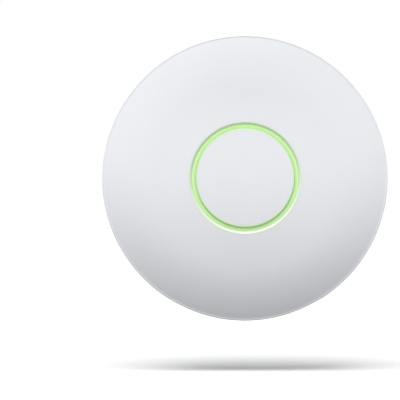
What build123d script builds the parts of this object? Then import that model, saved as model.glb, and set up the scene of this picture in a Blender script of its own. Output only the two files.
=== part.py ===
from build123d import *
import os
from math import cos, hypot, radians, sin, sqrt

# A round ceiling access point on its twist-lock bracket, standing as it does on a wall.
# The face looks along -Y, +Z is up, and the origin is the middle of the bracket's back.
# Names ending in _H are heights above that back, towards the face. Names ending in _R are
# radii, and _X and _Z are places across and up. Everything is in millimetres and degrees.

os.makedirs("parts", exist_ok=True)

# ---- fits ----
MOVE_GAP = 0.3          # between pieces that move past each other
SEAT_GAP = 0.1          # between fixed pieces that lie side by side
OVER = 1.0              # how far a cutting shape runs past what it cuts

# ---- the stack, from the wall to the face ----
PLATE_T = 3.0           # bracket plate
LUG_T = 1.4             # bayonet lugs of the base
TAB_T = 2.0             # bayonet tabs of the bracket
RECESS_ROOM = 2.0       # bracket tabs to the floor of the recess
CAST_T = 2.2            # walls of the cast base
SOCKET_LIFT = 0.4       # floor of the base to the network socket
BAY_ROOF_T = 2.0
PAD_T = 1.0             # heat pad between the cable bay and the board
BOARD_T = 1.6
FACE_ROOM = 9.9         # front of the board to the top of the dome

# ---- housing ----
DISC_R = 100.0
DOME_DROP = 7.2         # from the top of the dome to its edge
DOME_TURN_SET = 36.0    # rim to where the dome starts to turn down more
DOME_TURN = 3.2         # slope of the dome there, in degrees
RIM_LAND = 1.4          # flat edge around the dome
RIM_ROUND = 0.6
COVER_T = 2.2
SKIRT_T = 2.0
SKIRT_L = 3.7
SEAM_GAP = 0.4          # shadow line between the cover and the rear housing
SEAM_STEP = 0.7         # rear housing stands this far inside the cover
TONGUE_T = 2.1          # rim of the rear housing that enters the cover
TONGUE_RISE = 1.8
STANDOFF = 1.5          # rear housing to the wall
BOWL_INSET = 21.0       # rim to the foot of the bowl
BOWL_BULGE = 4.6        # of the bowl's curve over its chord
REAR_T = 2.2
COLLAR_T = 2.2          # collar around the cast base
VENT_SET = 3.5          # housing screws to the vents
VENT_L = 8.0
VENT_W = 1.8
VENTS = 7               # slots in each of the four groups
VENT_STEP = 4.5         # degrees between slots

# ---- light ring and centre cap ----
CAP_R = 34.4
CAP_T = 1.8
CAP_ROUND = 0.35
CAP_RIB_T = 1.3
CAP_RIB_L = 1.6
RING_GAP = 0.2          # ring to the cap and to the lip of the cover
RING_W = 2.6
RING_SINK = 1.0         # top of the ring below the edge of the cap
RING_FOOT_INSET = 0.2   # the light guide under the ring is this much slimmer
SHELF_T = 1.2
FLANGE_W = 4.3          # flange that clamps the ring behind the cover
FLANGE_T = 1.1
LIP_SLOPE = 1.4         # sloped edge of the cover around the ring
PEGS = 6
PEG_SET = 2.4           # ring to the pegs of the cover
PEG_R = 0.75
PEG_HEAD_R = 1.3
PEG_HEAD_T = 0.5
LEDS = 8
LED_W = 2.0
LED_L = 2.8
LED_T = 0.9
LED_ROOM = 0.7          # top of the lamps to the light guide
BAFFLE_T = 1.0
BAFFLE_GAP = 0.4        # light guide to the baffle walls
BAFFLE_ROOM = 1.0       # baffle to the flange of the ring
WEB_T = 0.8

# ---- cast base and its cable bay ----
RECESS_R = 54.0
CAST_FLANGE_W = 4.3
EAR_SET = 5.3           # outside of the recess wall to the ear screws
EAR_R = 3.7
EAR_ANGLE = 45.0
BAY_W = 36.0
BAY_LOW_Z = -14.0
BAY_TOP_Z = 34.0
BAY_WALL_T = 2.0
BAY_ROUND = 2.0
LUG_LAP = 2.9           # lugs behind the tabs
LUG_SPAN = 15.0
LUG_ANGLES = (90.0, 210.0, 330.0)
TWIST = 20.0            # turn that frees the lugs
RAMP_START = 24.0       # angle of the lock's nose when the unit is locked
RAMP_DROP = 1.3         # how far the ramp pushes the nose inwards over the whole turn
RAMP_REST = 2.0         # level stretch at each end of the ramp
RAMP_STEPS = 8

# ---- bracket ----
PLATE_GAP = 2.0         # rim of the plate to the recess
CABLE_HOLE_R = 16.0
SCREW_SET = 8.5         # screw circle inside the hub
SCREW_HOLE_R = 2.25
SLOT_CIRCLE_R = 30.0    # curved slots, for wall boxes with screws 60 apart
SLOT_SPAN = 30.0
SLOT_W = 4.4
HUB_GAP = 2.6           # hub to the lugs
HUB_T = 2.5
TAB_GAP = 2.5           # tabs to the recess
TAB_SPAN = 16.5
STOP_SPAN = 2.2
STOP_GAP = 0.6          # degrees between a lug and its stop

# ---- lock finger ----
FINGER_SET = 3.8        # tip of the nose to the middle line of the arm
FINGER_W = 2.0
FINGER_ROOT = 50.0      # angle of its root
KNUCKLE_R = 1.6
NOSE_R = 1.2
NOSE_GAP = 0.6          # nose to the recess when the unit is locked
FINGER_LIFT = 0.4       # off the wall
FINGER_ROOM = 1.8       # arm to the inner edge of its window
WINDOW_START = 20.0

# ---- fasteners ----
POST_SET = 2.0          # flange of the cast base to the posts
POST_R = 5.5
POST_DROP = 2.5         # board to the top of the posts
WELL_R = 3.6
WEB_SEAT_T = 2.5
BOSS_R = 3.75
BIG_SHANK_R = 1.45
BIG_PILOT_R = 1.5
BIG_HOLE_R = 1.7
BIG_HEAD_R = 2.8
BIG_HEAD_T = 2.4
BIG_SCREW_L = 9.0
SMALL_SHANK_R = 1.15
SMALL_PILOT_R = 1.2
SMALL_HOLE_R = 1.45
SMALL_HEAD_R = 2.3
SMALL_HEAD_T = 1.7
BOARD_SCREW_L = 8.0
EAR_SCREW_L = 6.5
PILOT_EXTRA = 1.0       # pilot holes run this much past their screws
SMALL_BOSS_R = 3.5
DRIVE_L = 3.0
DRIVE_W = 0.7
DRIVE_DEEP = 1.1

# ---- main board and what it carries ----
BOARD_GAP = 0.5         # posts to the edge of the board
BOARD_LOW_Z = -44.0
BOARD_TOP_Z = 54.0
BOARD_ROUND = 10.0
BOARD_HOLE_SET = 4.0    # edge of the board to its screws
BOSS_ROOM = 0.9         # flange of the cast base to the bosses under the board
SHIELD_W = 40.0
SHIELD_L = 32.0
SHIELD_RISE = 3.4
SHEET_T = 0.3
SHIELD_LAP = 2.6        # how far the lid comes down over its frame
ANTENNA_SET = 10.0      # edge of the board to the middle of the antennas
ANTENNA_Z = 10.0
ANTENNA_W = 9.0
ANTENNA_L = 28.0
ANTENNA_ROOM = 0.5      # antennas to the cover and to the flange of the ring
ANTENNA_T = 0.4
ANTENNA_SLIT_L = 20.0
ANTENNA_SLIT_W = 1.4
LEG_W = 1.8
LEG_STEP = 7.0
LABEL_W = 40.0
LABEL_L = 22.0
LABEL_Z = -33.0
LABEL_T = 0.1
REAR_PAD_W = 22.0
REAR_PAD_Z = 6.0
TOP_PAD_W = 15.0
CAN_R = 4.0
CAN_L = 11.5
CAN_X = -31.0
CAN_Z = (-2.0, -13.0)
RECTIFIER_X = 31.0
RECTIFIER_Z = (8.0, 0.0)
RECTIFIER_W = 5.0
RECTIFIER_L = 4.0
RECTIFIER_T = 2.0
CHIP_EDGE = 0.15        # chamfer on the moulded chips
TINY_GROUPS = ((-28.0, 46.0), (28.0, 46.0), (-46.0, -26.0))
TINY_STEP = (3.4, 2.6)
TINY_COUNT = (5, 2)
TINY_W = 1.6
TINY_L = 0.8
TINY_T = 0.7
# moulded chips: name, middle x, middle z, width, length, thickness, side (1 front, -1 rear)
CHIPS = (
    ("processor_chip", -8.0, 2.0, 17.0, 17.0, 1.2, 1),
    ("radio_chip", 11.0, 6.0, 12.0, 12.0, 1.0, 1),
    ("memory_chip", 11.0, -9.0, 12.0, 8.0, 1.0, 1),
    ("flash_chip", -8.0, -12.0, 8.0, 5.0, 0.9, 1),
    ("voltage_regulator", 46.0, -24.0, 6.5, 6.5, 2.3, 1),
    ("crystal", 26.5, 4.0, 3.2, 5.0, 1.0, 1),
    ("network_transformer", -33.0, 26.0, 9.8, 17.6, 6.0, -1),
    ("power_inductor", 33.0, 26.0, 12.0, 12.0, 6.5, -1),
    ("power_controller", 31.0, -12.0, 7.0, 7.0, 0.9, -1),
)

# ---- network socket ----
JACK_W = 15.5
JACK_L = 15.8
JACK_T = 13.3
JACK_SET = 0.2          # mouth behind the inside of the bay's end wall
PLUG_W = 11.9
PLUG_T = 7.0
PLUG_DEEP = 12.3
PLUG_RISE = 3.0         # underside of the socket to the plug's space
LATCH_W = 6.4
LATCH_T = 1.7
LATCH_STEP_W = 3.4
LATCH_STEP_T = 0.6
POCKET_T = 2.3          # room for the contacts over the plug's space
POCKET_SET = 1.2
CONTACTS = 8
CONTACT_PITCH = 1.02
CONTACT_W = 0.4
CONTACT_T = 0.35
CONTACT_KNUCKLE_R = 0.45
CONTACT_ROOT = 2.0      # mouth to the root of the contacts
CONTACT_LIFT = 0.8      # root over the plug's space
CONTACT_L = 9.3
CONTACT_SLOPE = 22.0
PIN_ROWS = (1.1, 2.6)   # behind the plug's space
PIN_TAIL = 1.0          # past the front of the board
PIN_HOLE_R = 0.4
SHIELD_T = 0.25
SHIELD_GAP = 0.05
SHIELD_LEG_W = 1.4
SHIELD_LEG_SET = 7.5    # behind the mouth
SHIELD_HOLE_R = 0.9
NOTCH_GAP = 0.25

# ---- reset switch ----
RESET_X = 13.5
RESET_DROP = 4.6        # board to the middle of the plunger
RESET_W = 6.0
RESET_T = 7.3
RESET_DEEP = 4.2
RESET_REACH = 1.5       # plunger in front of its cover
RESET_TRAVEL = 0.25
RESET_SET = 0.6         # tip of the plunger behind the bay's end wall
PLUNGER_R = 1.6
PLUNGER_GAP = 0.15
PLUNGER_HOLD = 2.6      # length of plunger inside the switch
PINHOLE_R = 1.1
SWITCH_LEG_L = 3.0

# ---- heights and radii that follow from the sizes above ----
LUG_H = PLATE_T + MOVE_GAP
TAB_H = LUG_H + LUG_T + MOVE_GAP
RECESS_H = TAB_H + TAB_T + RECESS_ROOM
FLOOR_H = RECESS_H + CAST_T
JACK_H = FLOOR_H + SOCKET_LIFT
BOARD_H = JACK_H + JACK_T + SEAT_GAP
BAY_ROOF_H = BOARD_H - PAD_T
BAY_H = BAY_ROOF_H - BAY_ROOF_T
FRONT_H = BOARD_H + BOARD_T
DEPTH = FRONT_H + FACE_ROOM

DOME_EDGE_R = DISC_R - RIM_LAND
RIM_H = DEPTH - DOME_DROP
# the dome is a flat round arc, and a tighter one that leaves it smoothly and ends at the rim
DOME_SIN, DOME_COS = sin(radians(DOME_TURN)), cos(radians(DOME_TURN))
DOME_TURN_R = DISC_R - DOME_TURN_SET
DOME_R = DOME_TURN_R / DOME_SIN
DOME_TURN_H = DEPTH - DOME_R * (1 - DOME_COS)
rim_run = DOME_EDGE_R - DOME_TURN_R
rim_fall = DOME_TURN_H - RIM_H
RIM_ARC_R = (rim_run**2 + rim_fall**2) / (2 * (rim_fall * DOME_COS - rim_run * DOME_SIN))
RIM_ARC_X = DOME_TURN_R - RIM_ARC_R * DOME_SIN
RIM_ARC_H = DOME_TURN_H - RIM_ARC_R * DOME_COS
SEAM_H = RIM_H - SKIRT_L
REAR_RIM_H = SEAM_H - SEAM_GAP
SKIRT_IN_R = DISC_R - SKIRT_T
TONGUE_R = SKIRT_IN_R - MOVE_GAP
TONGUE_IN_R = TONGUE_R - TONGUE_T
BOWL_R = DISC_R - SEAM_STEP
BOWL_FOOT_R = DISC_R - BOWL_INSET
REAR_IN_H = STANDOFF + REAR_T
CAST_OUT_R = RECESS_R + CAST_T
COLLAR_R = CAST_OUT_R + MOVE_GAP
EAR_CIRCLE_R = CAST_OUT_R + EAR_SET
HOUSING_CIRCLE_R = CAST_OUT_R + CAST_FLANGE_W + POST_SET + POST_R
VENT_R = HOUSING_CIRCLE_R + VENT_SET
BIG_PILOT_L = BIG_SCREW_L - WEB_SEAT_T - MOVE_GAP + PILOT_EXTRA

PLATE_R = RECESS_R - PLATE_GAP
TAB_R = RECESS_R - TAB_GAP
LUG_IN_R = TAB_R - LUG_LAP
HUB_R = LUG_IN_R - HUB_GAP
SCREW_CIRCLE_R = HUB_R - HUB_T - SCREW_SET
NOSE_OUT_R = RECESS_R - NOSE_GAP
FINGER_R = NOSE_OUT_R - FINGER_SET
WINDOW_IN_R = FINGER_R - FINGER_W / 2 - FINGER_ROOM

BOARD_W = 2 * (HOUSING_CIRCLE_R - POST_R - BOARD_GAP)
BOARD_HOLE_X = BOARD_W / 2 - BOARD_HOLE_SET
BOARD_HOLE_R = CAST_OUT_R + CAST_FLANGE_W + BOSS_ROOM + SMALL_BOSS_R
BOARD_HOLE_Z = sqrt(BOARD_HOLE_R**2 - BOARD_HOLE_X**2)
ANTENNA_X = BOARD_W / 2 - ANTENNA_SET

POST_TOP_H = BOARD_H - POST_DROP
SCREW_SEAT_H = POST_TOP_H - WEB_SEAT_T
BOSS_H = POST_TOP_H + MOVE_GAP

RING_R = CAP_R + RING_GAP
RING_OUT_R = RING_R + RING_W
FLANGE_R = RING_OUT_R + FLANGE_W
PEG_CIRCLE_R = RING_OUT_R + PEG_SET
LIP_FOOT_R = RING_OUT_R + RING_GAP
LIP_R = LIP_FOOT_R + LIP_SLOPE
GUIDE_IN_R = RING_R + RING_FOOT_INSET
GUIDE_OUT_R = RING_OUT_R - RING_FOOT_INSET
GUIDE_H = FRONT_H + LED_T + LED_ROOM
LED_CIRCLE_R = (GUIDE_IN_R + GUIDE_OUT_R) / 2
CAP_RIB_R = CAP_R - CAP_RIB_T - RING_GAP
SHELF_R = CAP_RIB_R + SEAT_GAP

RAMP_R = NOSE_OUT_R + RING_GAP
NOSE_CENTRE_R = NOSE_OUT_R - NOSE_R

MOUTH_Z = BAY_TOP_Z + JACK_SET
PLUG_H = JACK_H + PLUG_RISE
PLUG_TOP_H = PLUG_H + PLUG_T
POCKET_TOP_H = PLUG_TOP_H + POCKET_T
CONTACT_Z = MOUTH_Z + CONTACT_ROOT
CONTACT_H = PLUG_TOP_H + CONTACT_LIFT
PLUG_END_Z = MOUTH_Z + PLUG_DEEP
PIN_H = POCKET_TOP_H - SEAT_GAP - CONTACT_T
POCKET_W = CONTACTS * CONTACT_PITCH + CONTACT_W
BAY_END_Z = BAY_TOP_Z + BAY_WALL_T
RESET_H = BOARD_H - RESET_DROP
PLUNGER_Z = BAY_END_Z + RESET_SET
SWITCH_Z = PLUNGER_Z + RESET_REACH + SHEET_T + SEAT_GAP

# ---- planes: across the unit, two cuts through it, and one that faces up ----
FACE = Plane(origin=(0, 0, 0), x_dir=(1, 0, 0), z_dir=(0, -1, 0))      # local (x, z)
SECTION = Plane(origin=(0, 0, 0), x_dir=(1, 0, 0), z_dir=(0, 0, -1))   # local (radius, height)
SIDE = Plane(origin=(0, 0, 0), x_dir=(0, 0, 1), z_dir=(1, 0, 0))       # local (z, height)
UP = Plane.XY                                                          # local (x, -height)


def polar(radius, angle):
    """Point of the face plane at a radius and an angle from +X."""
    return (radius * cos(radians(angle)), radius * sin(radians(angle)))


def dome_height(radius, under=0.0):
    """Height of the dome at a radius, or of the surface that lies under it by some wall."""
    if radius < (DOME_R - under) * DOME_SIN:
        return DEPTH - DOME_R + sqrt((DOME_R - under) ** 2 - radius**2)
    return RIM_ARC_H + sqrt((RIM_ARC_R - under) ** 2 - (radius - RIM_ARC_X) ** 2)


def dome_arc(start, end, under=0.0):
    """The three points of one of the dome's arcs between two radii."""
    radii = (start, (start + end) / 2, end)
    return [(radius, dome_height(radius, under)) for radius in radii]


def sector(inner, outer, start, end):
    """A piece of a flat ring between two angles."""
    middle = (start + end) / 2
    with BuildSketch() as piece:
        with BuildLine():
            ThreePointArc(polar(outer, start), polar(outer, middle), polar(outer, end))
            Line(polar(outer, end), polar(inner, end))
            ThreePointArc(polar(inner, end), polar(inner, middle), polar(inner, start))
            Line(polar(inner, start), polar(outer, start))
        make_face()
    return piece.sketch


def block(low_x, high_x, low_z, high_z):
    """A rectangle of the face plane between two corners."""
    with BuildSketch() as piece:
        with Locations(((low_x + high_x) / 2, (low_z + high_z) / 2)):
            Rectangle(high_x - low_x, high_z - low_z)
    return piece.sketch


def screws(places, seat, way, head_r, head_t, shank_r, length):
    """Equal cross-head screws whose heads bear on a height. Way 1 points them to the face."""
    with BuildPart() as group:
        with BuildSketch(FACE.offset(seat)):
            with Locations(*places):
                Circle(shank_r)
        extrude(amount=way * length)
        with BuildSketch(FACE.offset(seat)):
            with Locations(*places):
                Circle(head_r)
        extrude(amount=-way * head_t)
        with BuildSketch(FACE.offset(seat - way * head_t)):
            with Locations(*places):
                Rectangle(DRIVE_L, DRIVE_W)
                Rectangle(DRIVE_W, DRIVE_L)
        extrude(amount=way * DRIVE_DEEP, mode=Mode.SUBTRACT)
    return group.part


CAP_EDGE_H = dome_height(CAP_R)
CAP_BASE_H = CAP_EDGE_H - CAP_T
RING_H = CAP_EDGE_H - RING_SINK
FLANGE_TOP_H = dome_height(FLANGE_R, COVER_T) - SEAT_GAP
FLANGE_H = FLANGE_TOP_H - FLANGE_T
BAFFLE_RISE = FLANGE_H - BAFFLE_ROOM - FRONT_H
antenna_corner_r = hypot(ANTENNA_X + ANTENNA_W / 2, ANTENNA_Z + ANTENNA_L / 2)
antenna_roof_h = min(dome_height(antenna_corner_r, COVER_T), FLANGE_H)
ANTENNA_RISE = antenna_roof_h - ANTENNA_ROOM - FRONT_H

HOUSING_SCREWS = [polar(HOUSING_CIRCLE_R, 90.0 * turn) for turn in range(4)]
EAR_SCREWS = [polar(EAR_CIRCLE_R, EAR_ANGLE + 90.0 * turn) for turn in range(4)]
BOARD_SCREWS = [(x, z) for x in (-BOARD_HOLE_X, BOARD_HOLE_X) for z in (-BOARD_HOLE_Z, BOARD_HOLE_Z)]
CONTACT_XS = [(place - (CONTACTS - 1) / 2) * CONTACT_PITCH for place in range(CONTACTS)]

# ================= bracket on the wall =================

slot_line = CenterArc((0, 0), SLOT_CIRCLE_R, -SLOT_SPAN / 2, SLOT_SPAN)

with BuildPart() as mounting_bracket:
    with BuildSketch(FACE):
        Circle(PLATE_R)
        Circle(CABLE_HOLE_R, mode=Mode.SUBTRACT)
        with PolarLocations(SCREW_CIRCLE_R, 4, start_angle=EAR_ANGLE):
            Circle(SCREW_HOLE_R, mode=Mode.SUBTRACT)
        for turn in range(4):
            SlotArc(slot_line, SLOT_W, rotation=90.0 * turn, mode=Mode.SUBTRACT)
        add(sector(WINDOW_IN_R, PLATE_R + OVER, WINDOW_START, FINGER_ROOT), mode=Mode.SUBTRACT)
        with Locations(polar(FINGER_R, FINGER_ROOT)):
            Circle(KNUCKLE_R + MOVE_GAP, mode=Mode.SUBTRACT)
    extrude(amount=PLATE_T)
    # hub that carries the tabs
    with BuildSketch(FACE.offset(PLATE_T)):
        Circle(HUB_R)
        Circle(HUB_R - HUB_T, mode=Mode.SUBTRACT)
    extrude(amount=TAB_H + TAB_T - PLATE_T)
    with BuildSketch(FACE.offset(TAB_H)):
        for angle in LUG_ANGLES:
            add(sector(HUB_R - HUB_T, TAB_R, angle - TAB_SPAN / 2, angle + TAB_SPAN / 2))
    extrude(amount=TAB_T)
    # a stop beside each lug, at its clockwise end
    with BuildSketch(FACE):
        for angle in LUG_ANGLES:
            end = angle - LUG_SPAN / 2 - STOP_GAP
            add(sector(HUB_R - HUB_T, TAB_R, end - STOP_SPAN, end))
    extrude(amount=TAB_H + TAB_T)
mounting_bracket.part.label = "mounting_bracket"
export_step(mounting_bracket.part, "parts/mounting_bracket.step")

with BuildPart() as lock_finger:
    with BuildSketch(FACE.offset(FINGER_LIFT)):
        add(sector(FINGER_R - FINGER_W / 2, FINGER_R + FINGER_W / 2, RAMP_START, FINGER_ROOT))
        with Locations(polar(FINGER_R, FINGER_ROOT)):
            Circle(KNUCKLE_R)
        with Locations(polar((FINGER_R + NOSE_CENTRE_R) / 2, RAMP_START)):
            SlotCenterToCenter(NOSE_CENTRE_R - FINGER_R, 2 * NOSE_R, rotation=RAMP_START)
    extrude(amount=PLATE_T - FINGER_LIFT)
lock_finger.part.label = "lock_finger"
export_step(lock_finger.part, "parts/lock_finger.step")

# ================= housing =================

with BuildPart() as front_cover:
    under_turn_r = (DOME_R - COVER_T) * DOME_SIN
    with BuildSketch(SECTION) as shell:
        with BuildLine():
            ThreePointArc(*dome_arc(LIP_R, DOME_TURN_R))
            ThreePointArc(*dome_arc(DOME_TURN_R, DOME_EDGE_R))
            Polyline(
                (DOME_EDGE_R, RIM_H),
                (DISC_R, RIM_H),
                (DISC_R, SEAM_H),
                (SKIRT_IN_R, SEAM_H),
                (SKIRT_IN_R, dome_height(SKIRT_IN_R, COVER_T)),
            )
            ThreePointArc(*dome_arc(SKIRT_IN_R, under_turn_r, COVER_T))
            ThreePointArc(*dome_arc(under_turn_r, LIP_FOOT_R, COVER_T))
            Polyline(
                (LIP_FOOT_R, dome_height(LIP_FOOT_R, COVER_T)),
                (LIP_FOOT_R, RING_H + SEAT_GAP),
                (LIP_R, dome_height(LIP_R)),
            )
        make_face()
        rim = shell.vertices().group_by(Axis.X)[-1].sort_by(Axis.Y)[-1]
        fillet(rim, RIM_ROUND)
    revolve(axis=Axis.Y)
    # bosses for the housing screws
    with BuildSketch(FACE.offset(BOSS_H)):
        with Locations(*HOUSING_SCREWS):
            Circle(BOSS_R)
    extrude(amount=dome_height(HOUSING_CIRCLE_R, COVER_T / 2) - BOSS_H)
    with BuildSketch(FACE.offset(BOSS_H)):
        with Locations(*HOUSING_SCREWS):
            Circle(BIG_PILOT_R)
    extrude(amount=BIG_PILOT_L, mode=Mode.SUBTRACT)
    # pegs that pass through the flange of the light ring, headed over behind it
    with BuildSketch(FACE.offset(FLANGE_H)):
        with PolarLocations(PEG_CIRCLE_R, PEGS, start_angle=EAR_ANGLE):
            Circle(PEG_R)
    extrude(amount=dome_height(PEG_CIRCLE_R, COVER_T / 2) - FLANGE_H)
    with BuildSketch(FACE.offset(FLANGE_H - PEG_HEAD_T)):
        with PolarLocations(PEG_CIRCLE_R, PEGS, start_angle=EAR_ANGLE):
            Circle(PEG_HEAD_R)
    extrude(amount=PEG_HEAD_T)
front_cover.part.label = "front_cover"
export_step(front_cover.part, "parts/front_cover.step")

with BuildPart() as centre_cap:
    with BuildSketch(SECTION) as lens:
        with BuildLine():
            ThreePointArc(*dome_arc(0.0, CAP_R))
            Polyline(
                (CAP_R, CAP_EDGE_H),
                (CAP_R, CAP_BASE_H),
                (CAP_RIB_R, CAP_BASE_H),
                (CAP_RIB_R, CAP_BASE_H - CAP_RIB_L),
                (CAP_RIB_R - CAP_RIB_T, CAP_BASE_H - CAP_RIB_L),
                (CAP_RIB_R - CAP_RIB_T, CAP_BASE_H),
                (0, CAP_BASE_H),
                (0, dome_height(0.0)),
            )
        make_face()
        edge = lens.vertices().group_by(Axis.X)[-1].sort_by(Axis.Y)[-1]
        fillet(edge, CAP_ROUND)
    revolve(axis=Axis.Y)
centre_cap.part.label = "centre_cap"
export_step(centre_cap.part, "parts/centre_cap.step")

with BuildPart() as light_ring:
    with BuildSketch(SECTION):
        with BuildLine():
            Polyline(
                (SHELF_R, CAP_BASE_H),
                (RING_R, CAP_BASE_H),
                (RING_R, RING_H),
                (RING_OUT_R, RING_H),
                (RING_OUT_R, FLANGE_TOP_H),
                (FLANGE_R, FLANGE_TOP_H),
                (FLANGE_R, FLANGE_H),
                (GUIDE_OUT_R, FLANGE_H),
                (GUIDE_OUT_R, GUIDE_H),
                (GUIDE_IN_R, GUIDE_H),
                (GUIDE_IN_R, CAP_BASE_H - SHELF_T),
                (SHELF_R, CAP_BASE_H - SHELF_T),
                close=True,
            )
        make_face()
    revolve(axis=Axis.Y)
    with BuildSketch(FACE.offset(FLANGE_H)):
        with PolarLocations(PEG_CIRCLE_R, PEGS, start_angle=EAR_ANGLE):
            Circle(PEG_R + SEAT_GAP)
    extrude(amount=FLANGE_T, mode=Mode.SUBTRACT)
light_ring.part.label = "light_ring"
export_step(light_ring.part, "parts/light_ring.step")

with BuildPart() as light_baffle:
    walls = (GUIDE_IN_R - BAFFLE_GAP, GUIDE_OUT_R + BAFFLE_GAP)
    with BuildSketch(FACE.offset(FRONT_H)):
        Circle(walls[0])
        Circle(walls[0] - BAFFLE_T, mode=Mode.SUBTRACT)
    extrude(amount=BAFFLE_RISE)
    with BuildSketch(FACE.offset(FRONT_H)):
        Circle(walls[1] + BAFFLE_T)
        Circle(walls[1], mode=Mode.SUBTRACT)
    extrude(amount=BAFFLE_RISE)
    with BuildSketch(FACE.offset(FRONT_H)):
        with PolarLocations(LED_CIRCLE_R, LEDS, start_angle=180.0 / LEDS):
            Rectangle(walls[1] - walls[0] + BAFFLE_T, WEB_T)
    extrude(amount=GUIDE_H - MOVE_GAP - FRONT_H)
light_baffle.part.label = "light_baffle"
export_step(light_baffle.part, "parts/light_baffle.step")

with BuildPart() as ring_lamps:
    with BuildSketch(FACE.offset(FRONT_H)):
        with PolarLocations(LED_CIRCLE_R, LEDS):
            Rectangle(LED_W, LED_L)
    extrude(amount=LED_T)
ring_lamps.part.label = "ring_lamps"
export_step(ring_lamps.part, "parts/ring_lamps.step")

with BuildPart() as rear_housing:
    # the bowl is a round arc: its radius and centre follow from its chord and its bulge
    chord_r = BOWL_R - BOWL_FOOT_R
    chord_h = REAR_RIM_H - STANDOFF
    chord = hypot(chord_r, chord_h)
    arc_r = (chord**2 / 4 + BOWL_BULGE**2) / (2 * BOWL_BULGE)
    centre_r = (BOWL_R + BOWL_FOOT_R) / 2 - (arc_r - BOWL_BULGE) * chord_h / chord
    centre_h = (REAR_RIM_H + STANDOFF) / 2 + (arc_r - BOWL_BULGE) * chord_r / chord
    inner_r = arc_r - REAR_T
    inner_foot_r = centre_r + sqrt(inner_r**2 - (centre_h - REAR_IN_H) ** 2)
    tongue_foot_h = centre_h - sqrt(inner_r**2 - (TONGUE_IN_R - centre_r) ** 2)
    with BuildSketch(SECTION):
        with BuildLine():
            RadiusArc((BOWL_FOOT_R, STANDOFF), (BOWL_R, REAR_RIM_H), -arc_r)
            Polyline(
                (BOWL_R, REAR_RIM_H),
                (TONGUE_R, REAR_RIM_H),
                (TONGUE_R, REAR_RIM_H + TONGUE_RISE),
                (TONGUE_IN_R, REAR_RIM_H + TONGUE_RISE),
                (TONGUE_IN_R, tongue_foot_h),
            )
            RadiusArc((TONGUE_IN_R, tongue_foot_h), (inner_foot_r, REAR_IN_H), inner_r)
            Polyline(
                (inner_foot_r, REAR_IN_H),
                (COLLAR_R + COLLAR_T, REAR_IN_H),
                (COLLAR_R + COLLAR_T, RECESS_H),
                (COLLAR_R, RECESS_H),
                (COLLAR_R, STANDOFF),
                (BOWL_FOOT_R, STANDOFF),
            )
        make_face()
    revolve(axis=Axis.Y)
    # posts and wells of the housing screws
    with BuildSketch(FACE.offset(STANDOFF)):
        with Locations(*HOUSING_SCREWS):
            Circle(POST_R)
    extrude(amount=POST_TOP_H - STANDOFF)
    with BuildSketch(FACE.offset(STANDOFF)):
        with Locations(*HOUSING_SCREWS):
            Circle(WELL_R)
    extrude(amount=SCREW_SEAT_H - STANDOFF, mode=Mode.SUBTRACT)
    with BuildSketch(FACE.offset(SCREW_SEAT_H)):
        with Locations(*HOUSING_SCREWS):
            Circle(BIG_HOLE_R)
    extrude(amount=WEB_SEAT_T, mode=Mode.SUBTRACT)
    # bosses under the ears of the cast base and under the board
    for places, top_h, depth in (
        (EAR_SCREWS, RECESS_H, EAR_SCREW_L - CAST_T),
        (BOARD_SCREWS, BOARD_H, BOARD_SCREW_L - BOARD_T),
    ):
        with BuildSketch(FACE.offset(STANDOFF + REAR_T / 2)):
            with Locations(*places):
                Circle(SMALL_BOSS_R)
        extrude(amount=top_h - STANDOFF - REAR_T / 2)
        with BuildSketch(FACE.offset(top_h)):
            with Locations(*places):
                Circle(SMALL_PILOT_R)
        extrude(amount=-(depth + PILOT_EXTRA), mode=Mode.SUBTRACT)
    # vent slots between the posts
    with BuildSketch(FACE.offset(STANDOFF)):
        for turn in range(4):
            first = EAR_ANGLE + 90.0 * turn - VENT_STEP * (VENTS - 1) / 2
            with PolarLocations(VENT_R, VENTS, first, VENT_STEP * (VENTS - 1), endpoint=True):
                SlotOverall(VENT_L, VENT_W)
    extrude(amount=REAR_T, mode=Mode.SUBTRACT)
rear_housing.part.label = "rear_housing"
export_step(rear_housing.part, "parts/rear_housing.step")

# ================= cast base with the recess and the cable bay =================

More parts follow.
